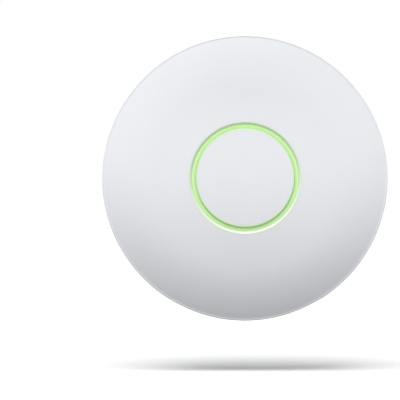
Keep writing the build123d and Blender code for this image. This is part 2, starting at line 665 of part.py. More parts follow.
with BuildPart() as cast_base:
    with BuildSketch(FACE.offset(STANDOFF)):
        Circle(CAST_OUT_R)
        Circle(RECESS_R, mode=Mode.SUBTRACT)
    extrude(amount=RECESS_H - STANDOFF)
    with BuildSketch(FACE.offset(RECESS_H)):
        Circle(CAST_OUT_R + CAST_FLANGE_W)
        with Locations(*EAR_SCREWS):
            Circle(EAR_R)
        with Locations(*EAR_SCREWS):
            Circle(SMALL_HOLE_R, mode=Mode.SUBTRACT)
    extrude(amount=CAST_T)
    # cable bay
    bay_x = BAY_W / 2
    with BuildSketch(FACE.offset(RECESS_H)) as bay_wall:
        add(block(-bay_x - BAY_WALL_T, bay_x + BAY_WALL_T, BAY_LOW_Z - BAY_WALL_T, BAY_END_Z))
        fillet(bay_wall.vertices(), BAY_ROUND + BAY_WALL_T)
    extrude(amount=BAY_ROOF_H - RECESS_H)
    with BuildSketch(FACE.offset(RECESS_H)) as bay_space:
        add(block(-bay_x, bay_x, BAY_LOW_Z, BAY_TOP_Z))
        fillet(bay_space.vertices(), BAY_ROUND)
    extrude(amount=BAY_H - RECESS_H, mode=Mode.SUBTRACT)
    # notch that the network socket stands in, and the hole for a pin to reach the reset switch
    notch_x = JACK_W / 2 + SHIELD_GAP + SHIELD_T + NOTCH_GAP
    with BuildSketch(FACE.offset(FLOOR_H)):
        add(block(-notch_x, notch_x, BAY_TOP_Z - SEAT_GAP, BAY_END_Z + OVER))
    extrude(amount=BAY_ROOF_H - FLOOR_H, mode=Mode.SUBTRACT)
    with BuildSketch(UP.offset(BAY_TOP_Z - SEAT_GAP)):
        with Locations((RESET_X, -RESET_H)):
            Circle(PINHOLE_R)
    extrude(amount=BAY_WALL_T + 2 * SEAT_GAP, mode=Mode.SUBTRACT)
    # bayonet lugs
    with BuildSketch(FACE.offset(LUG_H)):
        for angle in LUG_ANGLES:
            reach = CAST_OUT_R - CAST_T / 2
            add(sector(LUG_IN_R, reach, angle - LUG_SPAN / 2, angle + LUG_SPAN / 2))
    extrude(amount=LUG_T)
    # ramp that pushes the lock's nose inwards as the unit turns
    ramp = [polar(RAMP_R, RAMP_START + RAMP_REST)]
    for step in range(RAMP_STEPS + 1):
        share = step / RAMP_STEPS
        ramp.append(polar(RAMP_R - RAMP_DROP * share, RAMP_START - TWIST * share))
    ramp_end = RAMP_START - TWIST - RAMP_REST
    ramp.append(polar(RAMP_R - RAMP_DROP, ramp_end))
    reach = CAST_OUT_R - CAST_T / 2
    with BuildSketch(FACE.offset(STANDOFF)):
        with BuildLine():
            Polyline(*ramp)
            Line(polar(RAMP_R - RAMP_DROP, ramp_end), polar(reach, ramp_end))
            ThreePointArc(
                polar(reach, ramp_end),
                polar(reach, (ramp_end + RAMP_START + RAMP_REST) / 2),
                polar(reach, RAMP_START + RAMP_REST),
            )
            Line(polar(reach, RAMP_START + RAMP_REST), ramp[0])
        make_face()
    extrude(amount=PLATE_T - STANDOFF)
cast_base.part.label = "cast_base"
export_step(cast_base.part, "parts/cast_base.step")

with BuildPart() as rating_label:
    with BuildSketch(FACE.offset(RECESS_H)):
        with Locations((0, LABEL_Z)):
            Rectangle(LABEL_W, LABEL_L)
    extrude(amount=-LABEL_T)
rating_label.part.label = "rating_label"
export_step(rating_label.part, "parts/rating_label.step")

# ================= main board =================

with BuildPart() as main_board:
    with BuildSketch(FACE.offset(BOARD_H)) as outline:
        add(block(-BOARD_W / 2, BOARD_W / 2, BOARD_LOW_Z, BOARD_TOP_Z))
        fillet(outline.vertices(), BOARD_ROUND)
        with Locations(*BOARD_SCREWS):
            Circle(SMALL_HOLE_R, mode=Mode.SUBTRACT)
        for place, x in enumerate(CONTACT_XS):
            with Locations((x, PLUG_END_Z + PIN_ROWS[place % 2])):
                Circle(PIN_HOLE_R, mode=Mode.SUBTRACT)
        for side in (-1, 1):
            with Locations((side * (JACK_W / 2 + SHIELD_GAP), MOUTH_Z + SHIELD_LEG_SET)):
                Circle(SHIELD_HOLE_R, mode=Mode.SUBTRACT)
    extrude(amount=BOARD_T)
main_board.part.label = "main_board"
export_step(main_board.part, "parts/main_board.step")

for name, x, z, width, length, thick, side in CHIPS:
    with BuildPart() as chip:
        with BuildSketch(FACE.offset(FRONT_H if side > 0 else BOARD_H)):
            with Locations((x, z)):
                Rectangle(width, length)
        extrude(amount=side * thick)
        top = chip.faces().sort_by(Axis.Y)[0 if side > 0 else -1]
        chamfer(top.edges(), CHIP_EDGE)
    chip.part.label = name
    export_step(chip.part, f"parts/{name}.step")

with BuildPart() as bridge_rectifiers:
    with BuildSketch(FACE.offset(BOARD_H)):
        with Locations(*[(RECTIFIER_X, z) for z in RECTIFIER_Z]):
            Rectangle(RECTIFIER_W, RECTIFIER_L)
    extrude(amount=-RECTIFIER_T)
bridge_rectifiers.part.label = "bridge_rectifiers"
export_step(bridge_rectifiers.part, "parts/bridge_rectifiers.step")

with BuildPart() as power_capacitors:
    with BuildSketch(FACE.offset(BOARD_H)):
        with Locations(*[(CAN_X, z) for z in CAN_Z]):
            Circle(CAN_R)
    extrude(amount=-CAN_L)
power_capacitors.part.label = "power_capacitors"
export_step(power_capacitors.part, "parts/power_capacitors.step")

with BuildPart() as small_components:
    with BuildSketch(FACE.offset(FRONT_H)):
        for place in TINY_GROUPS:
            with Locations(place):
                with GridLocations(*TINY_STEP, *TINY_COUNT):
                    Rectangle(TINY_W, TINY_L)
    extrude(amount=TINY_T)
small_components.part.label = "small_components"
export_step(small_components.part, "parts/small_components.step")

# ---- shield over the chips, with heat pads above and below ----

with BuildPart() as shield_frame:
    with BuildSketch(FACE.offset(FRONT_H)):
        Rectangle(SHIELD_W, SHIELD_L)
        Rectangle(SHIELD_W - 2 * SHEET_T, SHIELD_L - 2 * SHEET_T, mode=Mode.SUBTRACT)
    extrude(amount=SHIELD_RISE - 2 * SHEET_T)
shield_frame.part.label = "shield_frame"
export_step(shield_frame.part, "parts/shield_frame.step")

with BuildPart() as shield_lid:
    wide = SHIELD_W + 2 * (SEAT_GAP + SHEET_T)
    long = SHIELD_L + 2 * (SEAT_GAP + SHEET_T)
    with BuildSketch(FACE.offset(FRONT_H + SHIELD_RISE - SHEET_T)):
        Rectangle(wide, long)
    extrude(amount=SHEET_T)
    with BuildSketch(FACE.offset(FRONT_H + SHIELD_RISE - SHIELD_LAP)):
        Rectangle(wide, long)
        Rectangle(wide - 2 * SHEET_T, long - 2 * SHEET_T, mode=Mode.SUBTRACT)
    extrude(amount=SHIELD_LAP - SHEET_T)
shield_lid.part.label = "shield_lid"
export_step(shield_lid.part, "parts/shield_lid.step")

with BuildPart() as chip_heat_pad:
    _, pad_x, pad_z, _, _, chip_t, _ = CHIPS[0]
    with BuildSketch(FACE.offset(FRONT_H + chip_t)):
        with Locations((pad_x, pad_z)):
            Rectangle(TOP_PAD_W, TOP_PAD_W)
    extrude(amount=SHIELD_RISE - SHEET_T - chip_t)
chip_heat_pad.part.label = "chip_heat_pad"
export_step(chip_heat_pad.part, "parts/chip_heat_pad.step")

with BuildPart() as base_heat_pad:
    with BuildSketch(FACE.offset(BAY_ROOF_H)):
        with Locations((0, REAR_PAD_Z)):
            Rectangle(REAR_PAD_W, REAR_PAD_W)
    extrude(amount=PAD_T)
base_heat_pad.part.label = "base_heat_pad"
export_step(base_heat_pad.part, "parts/base_heat_pad.step")

# ---- stamped antennas: a raised plate with a slit, on two legs ----

for side, name in ((-1, "antenna_left"), (1, "antenna_right")):
    with BuildPart() as antenna:
        with BuildSketch(FACE.offset(FRONT_H + ANTENNA_RISE - ANTENNA_T)):
            with Locations((side * ANTENNA_X, ANTENNA_Z)):
                Rectangle(ANTENNA_W, ANTENNA_L)
            with Locations((side * ANTENNA_X, ANTENNA_Z + (ANTENNA_L - ANTENNA_SLIT_L) / 2)):
                Rectangle(ANTENNA_SLIT_W, ANTENNA_SLIT_L, mode=Mode.SUBTRACT)
        extrude(amount=ANTENNA_T)
        leg_x = side * (ANTENNA_X - (ANTENNA_W - ANTENNA_T) / 2)
        leg_z = ANTENNA_Z - (ANTENNA_L - LEG_W) / 2
        with BuildSketch(FACE.offset(FRONT_H)):
            with Locations((leg_x, leg_z), (leg_x, leg_z + LEG_STEP)):
                Rectangle(ANTENNA_T, LEG_W)
        extrude(amount=ANTENNA_RISE)
    antenna.part.label = name
    export_step(antenna.part, f"parts/{name}.step")

# ================= network socket behind the board =================

with BuildPart() as socket_housing:
    half = JACK_W / 2
    with BuildSketch(FACE.offset(JACK_H)):
        add(block(-half, half, MOUTH_Z, MOUTH_Z + JACK_L))
    extrude(amount=JACK_T)
    # the plug's space, and the two steps of its latch
    for wide, low_h, high_h in (
        (PLUG_W, PLUG_H, PLUG_TOP_H),
        (LATCH_W, PLUG_H - LATCH_T, PLUG_H),
        (LATCH_STEP_W, PLUG_H - LATCH_T - LATCH_STEP_T, PLUG_H - LATCH_T),
    ):
        with BuildSketch(FACE.offset(low_h)):
            add(block(-wide / 2, wide / 2, MOUTH_Z - OVER, PLUG_END_Z))
        extrude(amount=high_h - low_h, mode=Mode.SUBTRACT)
    # pocket over the contacts, and the slot that their pins leave by
    with BuildSketch(FACE.offset(PLUG_TOP_H)):
        add(block(-POCKET_W / 2, POCKET_W / 2, MOUTH_Z + POCKET_SET, PLUG_END_Z))
    extrude(amount=POCKET_T, mode=Mode.SUBTRACT)
    with BuildSketch(FACE.offset(PIN_H - SEAT_GAP)):
        slot_end = PLUG_END_Z + PIN_ROWS[1] + CONTACT_W
        add(block(-POCKET_W / 2, POCKET_W / 2, PLUG_END_Z - OVER, slot_end))
    extrude(amount=BOARD_H - PIN_H, mode=Mode.SUBTRACT)
socket_housing.part.label = "socket_housing"
export_step(socket_housing.part, "parts/socket_housing.step")

with BuildPart() as socket_shield:
    inner = JACK_W / 2 + SHIELD_GAP
    outer = inner + SHIELD_T
    rear_z = MOUTH_Z + JACK_L + SHIELD_GAP
    low_h = JACK_H - SHIELD_GAP - SHIELD_T
    with BuildSketch(FACE.offset(low_h)):
        add(block(-outer, outer, MOUTH_Z, rear_z + SHIELD_T))
    extrude(amount=BOARD_H - SEAT_GAP - low_h)
    with BuildSketch(FACE.offset(JACK_H - SHIELD_GAP)):
        add(block(-inner, inner, MOUTH_Z - OVER, rear_z))
    extrude(amount=JACK_T + OVER, mode=Mode.SUBTRACT)
    # legs soldered into the board
    leg_z = MOUTH_Z + SHIELD_LEG_SET
    with BuildSketch(FACE.offset(BOARD_H - OVER)):
        for side in (-1, 1):
            with Locations((side * (inner + SHIELD_T / 2), leg_z)):
                Rectangle(SHIELD_T, SHIELD_LEG_W)
    extrude(amount=OVER + BOARD_T + PIN_TAIL)
socket_shield.part.label = "socket_shield"
export_step(socket_shield.part, "parts/socket_shield.step")

with BuildPart() as socket_pins:
    for place, x in enumerate(CONTACT_XS):
        pin_z = PLUG_END_Z + PIN_ROWS[place % 2]
        with BuildSketch(FACE.offset(PIN_H)):
            add(block(x - CONTACT_W / 2, x + CONTACT_W / 2, CONTACT_Z, pin_z + CONTACT_T / 2))
        extrude(amount=CONTACT_T)
        with BuildSketch(FACE.offset(PIN_H)):
            with Locations((x, pin_z)):
                Rectangle(CONTACT_W, CONTACT_T)
        extrude(amount=FRONT_H + PIN_TAIL - PIN_H)
socket_pins.part.label = "socket_pins"
export_step(socket_pins.part, "parts/socket_pins.step")

with BuildPart() as socket_contacts:
    along = (cos(radians(CONTACT_SLOPE)), -sin(radians(CONTACT_SLOPE)))
    half = CONTACT_T / 2
    tip = (CONTACT_Z + CONTACT_L * along[0], CONTACT_H + CONTACT_L * along[1])
    side_step = (half * along[1], -half * along[0])
    for x in CONTACT_XS:
        with BuildSketch(SIDE.offset(x)):
            with BuildLine():
                Polyline(
                    (CONTACT_Z + side_step[0], CONTACT_H + side_step[1]),
                    (tip[0] + side_step[0], tip[1] + side_step[1]),
                    (tip[0] - side_step[0], tip[1] - side_step[1]),
                    (CONTACT_Z - side_step[0], CONTACT_H - side_step[1]),
                    close=True,
                )
            make_face()
            with Locations((CONTACT_Z, CONTACT_H)):
                Circle(CONTACT_KNUCKLE_R)
            with Locations(tip):
                Circle(half)
        extrude(amount=CONTACT_W / 2, both=True)
socket_contacts.part.label = "socket_contacts"
export_step(socket_contacts.part, "parts/socket_contacts.step")

# ================= reset switch =================

with BuildPart() as switch_body:
    with BuildSketch(FACE.offset(BOARD_H)):
        low_x = RESET_X - RESET_W / 2
        add(block(low_x, low_x + RESET_W, SWITCH_Z, SWITCH_Z + RESET_DEEP))
    extrude(amount=-RESET_T)
    with BuildSketch(UP.offset(SWITCH_Z)):
        with Locations((RESET_X, -RESET_H)):
            Circle(PLUNGER_R + PLUNGER_GAP)
    extrude(amount=PLUNGER_HOLD + RESET_TRAVEL + MOVE_GAP, mode=Mode.SUBTRACT)
switch_body.part.label = "switch_body"
export_step(switch_body.part, "parts/switch_body.step")

with BuildPart() as switch_cover:
    cover_x = RESET_W / 2 + SEAT_GAP + SHEET_T
    with BuildSketch(FACE.offset(BOARD_H)):
        front_z = SWITCH_Z - SEAT_GAP - SHEET_T
        add(block(RESET_X - cover_x, RESET_X + cover_x, front_z, front_z + SHEET_T))
        for side in (-1, 1):
            with Locations((RESET_X + side * (cover_x - SHEET_T / 2), front_z + SWITCH_LEG_L / 2)):
                Rectangle(SHEET_T, SWITCH_LEG_L)
    extrude(amount=-RESET_T)
    with BuildSketch(UP.offset(SWITCH_Z - SEAT_GAP)):
        with Locations((RESET_X, -RESET_H)):
            Circle(PLUNGER_R + PLUNGER_GAP)
    extrude(amount=-SHEET_T, mode=Mode.SUBTRACT)
switch_cover.part.label = "switch_cover"
export_step(switch_cover.part, "parts/switch_cover.step")

with BuildPart() as reset_plunger:
    with BuildSketch(UP.offset(PLUNGER_Z)):
        with Locations((RESET_X, -RESET_H)):
            Circle(PLUNGER_R)
    extrude(amount=SWITCH_Z + PLUNGER_HOLD - PLUNGER_Z)
    chamfer(reset_plunger.edges().sort_by(Axis.Z)[0], CHIP_EDGE)
reset_plunger.part.label = "reset_plunger"
export_step(reset_plunger.part, "parts/reset_plunger.step")

# ================= screws =================

for name, places, seat, way, head_r, head_t, shank_r, length in (
    ("housing_screws", HOUSING_SCREWS, SCREW_SEAT_H, 1,
     BIG_HEAD_R, BIG_HEAD_T, BIG_SHANK_R, BIG_SCREW_L),
    ("base_screws", EAR_SCREWS, FLOOR_H, -1,
     SMALL_HEAD_R, SMALL_HEAD_T, SMALL_SHANK_R, EAR_SCREW_L),
    ("board_screws", BOARD_SCREWS, FRONT_H, -1,
     SMALL_HEAD_R, SMALL_HEAD_T, SMALL_SHANK_R, BOARD_SCREW_L),
):
    group = screws(places, seat, way, head_r, head_t, shank_r, length)
    group.label = name
    export_step(group, f"parts/{name}.step")
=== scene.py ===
"""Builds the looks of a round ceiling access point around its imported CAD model.

Everything is in metres, in the model's own frame: the face looks along -Y, +Z is up, and the
origin is the middle of the bracket's flat back. "Height" below means distance from that back
towards the face. Laid out as an add-on with one operator for each piece or group of pieces.
"""

from math import atan, cos, degrees, hypot, pi, radians, sin, sqrt

import bpy
from bpy.props import FloatProperty, FloatVectorProperty, IntProperty, PointerProperty
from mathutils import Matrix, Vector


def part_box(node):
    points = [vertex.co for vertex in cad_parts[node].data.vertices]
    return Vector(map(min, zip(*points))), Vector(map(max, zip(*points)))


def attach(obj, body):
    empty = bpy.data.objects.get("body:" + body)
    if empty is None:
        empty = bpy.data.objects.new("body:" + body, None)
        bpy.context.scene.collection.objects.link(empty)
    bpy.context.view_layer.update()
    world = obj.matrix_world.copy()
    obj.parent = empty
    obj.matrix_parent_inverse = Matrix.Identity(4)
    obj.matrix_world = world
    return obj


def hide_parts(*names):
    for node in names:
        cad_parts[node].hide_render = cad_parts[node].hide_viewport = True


bl_info = {
    "name": "Ceiling Access Point",
    "version": (1, 0, 0),
    "blender": (4, 5, 0),
    "location": "View3D > Sidebar > Access Point",
    "description": "Shells, bracket, screws and finishes of a round ceiling access point",
    "category": "Add Mesh",
}

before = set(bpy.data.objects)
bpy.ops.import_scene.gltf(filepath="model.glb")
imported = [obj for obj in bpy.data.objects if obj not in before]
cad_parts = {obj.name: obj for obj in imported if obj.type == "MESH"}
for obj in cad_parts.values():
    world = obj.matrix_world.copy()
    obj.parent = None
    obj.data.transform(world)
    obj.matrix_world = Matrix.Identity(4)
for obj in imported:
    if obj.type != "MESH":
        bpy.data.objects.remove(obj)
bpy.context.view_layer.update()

MM = 0.001
TURN_STEPS = 288        # faces round a large turned piece
SMALL_STEPS = 48        # faces round a boss or a hole
VENT_STEPS = 24         # faces round the ends of a vent
SCREW_STEPS = 32        # faces round a screw
BRACKET_STEPS = 192     # faces round the bracket's plate
SECTOR_STEP = 1.25      # degrees that a face of a part ring spans
DOME_STEPS = 36         # faces from the ring to the rim
UNDER_STEPS = 26        # faces from the rim to the ring, on the inside
CAP_STEPS = 20          # faces from the middle of the cap to its edge
BOWL_STEPS = 22         # faces up the bowl, outside
BOWL_IN_STEPS = 16      # faces up the bowl, inside
CORNER_STEPS = 6        # faces round the corner of the rim
HEAD_STEPS = 5          # faces round the edge of a screw's head
FLOOR_SIDE = 40.0       # side of the floor
FAR = 100.0             # how far the camera sees
OVER = 1.0 * MM         # tools run this much past what they cut, or into what they join
SEAT = 0.02 * MM        # room between pieces that rest on each other
SLIVER = 0.002 * MM     # doubles and slivers up to this size are taken away
QUARTER = 1 - sqrt(0.5) # bulge of a quarter circle over its chord, for a radius of one
SHARP = radians(38.0)   # edges that turn by more than this stay sharp, or are rounded

cap_low, cap_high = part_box("centre_cap")
cover_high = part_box("front_cover")[1]
ring_low, ring_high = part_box("light_ring")
rear_low, rear_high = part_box("rear_housing")
plate_low, plate_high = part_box("mounting_bracket")
board_low, board_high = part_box("main_board")

DEPTH = -cap_low.y                  # wall to the top of the dome
CAP_R = cap_high.x
GLOW_R = CAP_R + 0.9 * MM           # brightest line of the light ring
DISC_R = cover_high.x
RING_H = -ring_low.y
FLANGE_R = ring_high.x
GUIDE_H = -ring_high.y
BOWL_R = rear_high.x
STANDOFF = -rear_high.y
POST_TOP_H = -rear_low.y
PLATE_R = plate_high.x
TAB_TOP_H = -plate_low.y
BOARD_H = -board_high.y
FRONT_H = -board_low.y
BOSS_H = -cover_high.y


# ---------------------------------------------------------------- sizes and colours


def length(name, description, millimetres):
    """A length that a user may change, given in millimetres and kept in metres."""
    return FloatProperty(
        name=name, description=description, default=millimetres * MM, min=0.0, unit="LENGTH", precision=5
    )


def turn(name, description, in_degrees):
    """An angle that a user may change, given in degrees."""
    return FloatProperty(name=name, description=description, default=radians(in_degrees), subtype="ANGLE")


def number(name, description, value):
    """A plain number that a user may change, such as the strength of a light."""
    return FloatProperty(name=name, description=description, default=value, min=0.0)


def paint(name, description, colour):
    """A colour that a user may change, as linear red, green and blue."""
    return FloatVectorProperty(
        name=name, description=description, default=colour, subtype="COLOR", min=0.0, max=1.0
    )


class CoverSizes(bpy.types.PropertyGroup):
    """Front cover, centre cap and light ring."""

    drop: length("Drop", "From the top of the dome to its edge", 7.2)
    turn_set: length("Turn Inset", "Rim to where the dome starts to turn down more", 36.0)
    turn_slope: turn("Turn Slope", "Slope of the dome where it starts to turn down more", 3.2)
    rim_land: length("Rim Land", "Width of the flat edge round the dome", 1.4)
    rim_round: length("Rim Round", "Radius of the outer corner", 0.6)
    edge_round: length("Edge Round", "Radius of the cover's other edges", 0.15)
    wall: length("Wall", "Thickness of the cover", 2.2)
    skirt: length("Skirt Wall", "Thickness of the skirt", 2.0)
    skirt_length: length("Skirt Length", "Straight side under the rim", 3.7)
    ring_gap: length("Ring Gap", "Light ring to the cap and to the lip", 0.2)
    ring_width: length("Ring Width", "Width of the light ring's face", 2.6)
    ring_round: length("Ring Round", "Radius of the ring's edges", 0.1)
    guide_set: length("Guide Inset", "Sides of the light ring to those of its guide", 0.2)
    lip_slope: length("Lip Slope", "Width of the sloped edge round the ring", 1.4)
    cap_wall: length("Cap Edge", "Thickness of the cap's edge", 1.8)
    cap_round: length("Cap Round", "Radius of the cap's edge", 0.35)
    cap_rib: length("Cap Rib", "Thickness of the rib behind the cap", 1.3)
    cap_rib_length: length("Cap Rib Length", "Height of the rib behind the cap", 1.6)
    shelf: length("Shelf", "Thickness of the ring's shelf under the cap", 1.2)
    flange: length("Flange", "Thickness of the ring's flange", 1.1)
    boss: length("Boss Radius", "Bosses for the housing screws", 3.75)
    pilot: length("Pilot Radius", "Pilot holes in the bosses", 1.5)
    pilot_length: length("Pilot Length", "Depth of the pilot holes", 7.2)
    pegs: IntProperty(name="Pegs", description="Pegs that hold the ring", default=6, min=3)
    peg_set: length("Peg Inset", "Ring to the pegs", 2.4)
    peg: length("Peg Radius", "Pegs through the ring's flange", 0.75)
    peg_head: length("Peg Head", "Radius of the headed-over pegs", 1.3)
    peg_head_end: length("Peg Head End", "Radius of their outer end", 0.91)
    peg_head_rise: length("Peg Head Rise", "Thickness of the headed-over pegs", 0.5)


class RearSizes(bpy.types.PropertyGroup):
    """Rear housing."""

    wall: length("Wall", "Thickness of the rear housing", 2.2)
    edge_round: length("Edge Round", "Radius of the housing's edges", 0.22)
    bowl_inset: length("Bowl Inset", "Rim to the foot of the bowl", 21.0)
    bowl_bulge: length("Bowl Bulge", "Bowl's curve over its chord", 4.6)
    seam: length("Seam", "Shadow line between the cover and the rear housing", 0.4)
    tongue_gap: length("Tongue Gap", "Skirt of the cover to the tongue", 0.3)
    tongue: length("Tongue", "Thickness of the tongue", 2.1)
    tongue_rise: length("Tongue Rise", "Height of the tongue", 1.8)
    collar_in: length("Collar Radius", "Inside of the collar round the cast base", 56.5)
    collar: length("Collar", "Thickness of the collar", 2.2)
    collar_top: length("Collar Top", "Top of the collar above the wall", 9.0)
    post_circle: length("Post Circle", "Radius on which the screw posts stand", 68.0)
    post: length("Post Radius", "Posts of the housing screws", 5.5)
    well: length("Well Radius", "Wells of the housing screws", 3.6)
    well_top: length("Well Top", "Seat of the screw heads above the wall", 20.0)
    hole: length("Hole Radius", "Holes for the housing screws", 1.7)
    boss: length("Boss Radius", "Bosses under the cast base and the board", 3.5)
    boss_pilot: length("Boss Pilot", "Pilot holes in those bosses", 1.2)
    ear_pilot_length: length("Ear Pilot Length", "Pilot holes under the cast base", 5.3)
    board_pilot_length: length("Board Pilot Length", "Pilot holes under the board", 7.4)
    ear_circle: length("Ear Circle", "Radius on which the cast base is fastened", 61.5)
    ear_top: length("Ear Top", "Seat of the cast base's screws above the wall", 11.2)
    board_x: length("Board Hole X", "Board screws from the middle, sideways", 58.0)
    board_circle: length("Board Circle", "Board screws from the middle", 64.9)
    vents: IntProperty(name="Vents", description="Slots in each group", default=7, min=1)
    vent_circle: length("Vent Circle", "Radius of the middle of the slots", 71.5)
    vent_length: length("Vent Length", "Length of a slot", 8.0)
    vent_width: length("Vent Width", "Width of a slot", 1.8)
    vent_step: turn("Vent Step", "Angle between slots", 4.5)


class BracketSizes(bpy.types.PropertyGroup):
    """Mounting bracket and its lock finger."""

    plate: length("Plate", "Thickness of the plate", 3.0)
    edge_round: length("Edge Round", "Radius of the bracket's edges", 0.25)
    cable_hole: length("Cable Hole", "Radius of the hole for the cable", 16.0)
    screw_circle: length("Screw Circle", "Radius on which the screw holes stand", 35.0)
    screw_hole: length("Screw Hole", "Radius of the screw holes", 2.25)
    slot_circle: length("Slot Circle", "Radius of the curved slots", 30.0)
    slot_width: length("Slot Width", "Width of the curved slots", 4.4)
    slot_span: turn("Slot Span", "Angle that a curved slot spans", 30.0)
    hub: length("Hub Radius", "Outside of the hub", 46.0)
    hub_wall: length("Hub Wall", "Thickness of the hub", 2.5)
    tab: length("Tab Radius", "Outside of the tabs", 51.5)
    tab_thick: length("Tab Thickness", "Thickness of the tabs", 2.0)
    tab_span: turn("Tab Span", "Angle that a tab spans", 16.5)
    lug_span: turn("Lug Span", "Angle that a lug of the unit spans", 15.0)
    stop_span: turn("Stop Span", "Angle that a stop spans", 2.2)
    stop_gap: turn("Stop Gap", "Angle between a lug and its stop", 0.6)
    window_in: length("Window Radius", "Inner edge of the finger's window", 46.8)
    window_start: turn("Window Start", "Angle at which the window starts", 20.0)
    finger_root: turn("Finger Root", "Angle of the finger's root", 50.0)
    finger_tip: turn("Finger Tip", "Angle of the finger's nose", 24.0)
    finger_circle: length("Finger Circle", "Radius of the finger's middle line", 49.6)
    finger_width: length("Finger Width", "Width of the finger", 2.0)
    finger_lift: length("Finger Lift", "Finger to the wall", 0.4)
    finger_round: length("Finger Round", "Radius of the finger's edges", 0.22)
    nose: length("Nose Radius", "Round end of the finger's nose", 1.2)
    nose_reach: length("Nose Reach", "Tip of the nose from the middle", 53.4)
    knuckle: length("Knuckle Radius", "Round root of the finger", 1.6)
    knuckle_gap: length("Knuckle Gap", "Knuckle to the plate", 0.3)


class ScrewSizes(bpy.types.PropertyGroup):
    """Cross-head screws."""

    head: length("Head Radius", "Heads of the housing screws", 2.8)
    head_height: length("Head Height", "Height of those heads", 2.4)
    shank: length("Shank Radius", "Shanks of the housing screws", 1.45)
    shank_length: length("Shank Length", "Length of those shanks", 9.0)
    small_head: length("Small Head Radius", "Heads of the base and board screws", 2.3)
    small_head_height: length("Small Head Height", "Height of those heads", 1.7)
    small_shank: length("Small Shank Radius", "Shanks of the base and board screws", 1.15)
    base_length: length("Base Screw Length", "Shanks of the base screws", 6.5)
    board_length: length("Board Screw Length", "Shanks of the board screws", 8.0)
    head_round: length("Head Round", "Radius of the edge of the head", 0.7)
    edge_round: length("Edge Round", "Radius of the other edges", 0.05)
    drive_length: length("Drive Length", "Length of the cross", 3.0)
    drive_width: length("Drive Width", "Width of the cross", 0.7)
    drive_depth: length("Drive Depth", "Depth of the cross", 1.1)
    drive_taper: number("Drive Taper", "Foot of the cross over its mouth", 0.55)
    plain: length("Plain Shank", "Shank between the head and the first thread", 0.8)
    pitch: length("Pitch", "Distance between the threads", 0.9)
    thread: length("Thread", "Height of the threads", 0.18)


class FinishColours(bpy.types.PropertyGroup):
    """Colours of the finishes."""

    cover: paint("Cover", "Satin plastic of the cover and the cap", (0.845, 0.862, 0.890))
    rear: paint("Rear Housing", "Matt plastic of the rear housing", (0.62, 0.63, 0.65))
    bracket: paint("Bracket", "Plastic of the mounting bracket", (0.62, 0.635, 0.65))
    finger: paint("Lock Finger", "Plastic of the lock finger", (0.74, 0.75, 0.76))
    glow_core: paint("Glow Core", "Light ring at its brightest line", (0.44, 0.76, 0.26))
    # also the colour of the green glow painted onto the cover and the cap beside the ring
    glow_edge: paint("Glow Edge", "Light ring at its outer edge", (0.65, 0.86, 0.49))
    board: paint("Board", "Solder resist of the board", (0.012, 0.060, 0.030))
    steel: paint("Steel", "Plated steel of the screws and shields", (0.56, 0.56, 0.55))
    cast: paint("Casting", "Cast metal of the base", (0.44, 0.45, 0.46))


class StageSettings(bpy.types.PropertyGroup):
    """Camera, floor and light."""

    distance: length("Camera Distance", "Camera to the face of the disc", 1400.0)
    across: length("View Width", "Width of the view at the rim of the disc", 280.4)
    left: length("Camera Left", "Camera to the left of the middle of the disc", 31.5)
    below: length("Camera Below", "Camera below the middle of the disc", 15.4)
    floor_drop: length("Floor Drop", "Middle of the disc to the floor", 136.0)
    sun_height: turn("Light Height", "Height of the soft light above the horizon", 68.0)
    sun_side: turn("Light Side", "Turn of the soft light to the left", 20.0)
    sun_spread: turn("Light Spread", "How wide the soft light is", 50.0)
    sun_power: number("Light Power", "Strength of the soft light", 3.1)
    strip_away: length("Strip Away", "Face to the strip light in front of it", 180.0)
    strip_above: length("Strip Above", "Strip light above the middle", 12.0)
    strip_width: length("Strip Width", "Width of the strip light", 1200.0)
    strip_height: length("Strip Height", "Height of the strip light", 30.0)
    strip_spread: turn("Strip Spread", "Angle that the strip light reaches over", 120.0)
    strip_power: number("Strip Power", "Watts of the strip light", 0.31)
    back_side: length("Back Light Side", "Back light to the right of the middle", 500.0)
    back_away: length("Back Light Away", "Wall to the back light", 750.0)
    back_below: length("Back Light Below", "Back light below the middle", 20.0)
    back_width: length("Back Light Width", "Width of the back light", 800.0)
    back_height: length("Back Light Height", "Height of the back light", 400.0)
    back_power: number("Back Light Power", "Watts of the back light", 4.0)
    fill: number("Fill", "Strength of the even light from all round", 0.30)


# ---------------------------------------------------------------- shader maths


class Socket:
    """A shader value that can stand in Python sums: each operator adds a Math node."""

    def __init__(self, finish, link):
        self.finish = finish
        self.link = link

    def math(self, operation, *values):
        return self.finish.node("ShaderNodeMath", {"operation": operation}, dict(enumerate(values)))

    def __abs__(self):
        return self.math("ABSOLUTE", self)

    def at_most(self, other):
        return self.math("MINIMUM", self, other)

    def at_least(self, other):
        return self.math("MAXIMUM", self, other)

    def wrapped(self, period):
        """The value in whole periods round zero, from minus to plus half a period."""
        return self.math("WRAP", self, period / 2, -period / 2)


for name, operation in (("add", "ADD"), ("sub", "SUBTRACT"), ("mul", "MULTIPLY"), ("truediv", "DIVIDE")):
    setattr(Socket, f"__{name}__", lambda left, right, kind=operation: left.math(kind, left, right))
    setattr(Socket, f"__r{name}__", lambda right, left, kind=operation: right.math(kind, left, right))


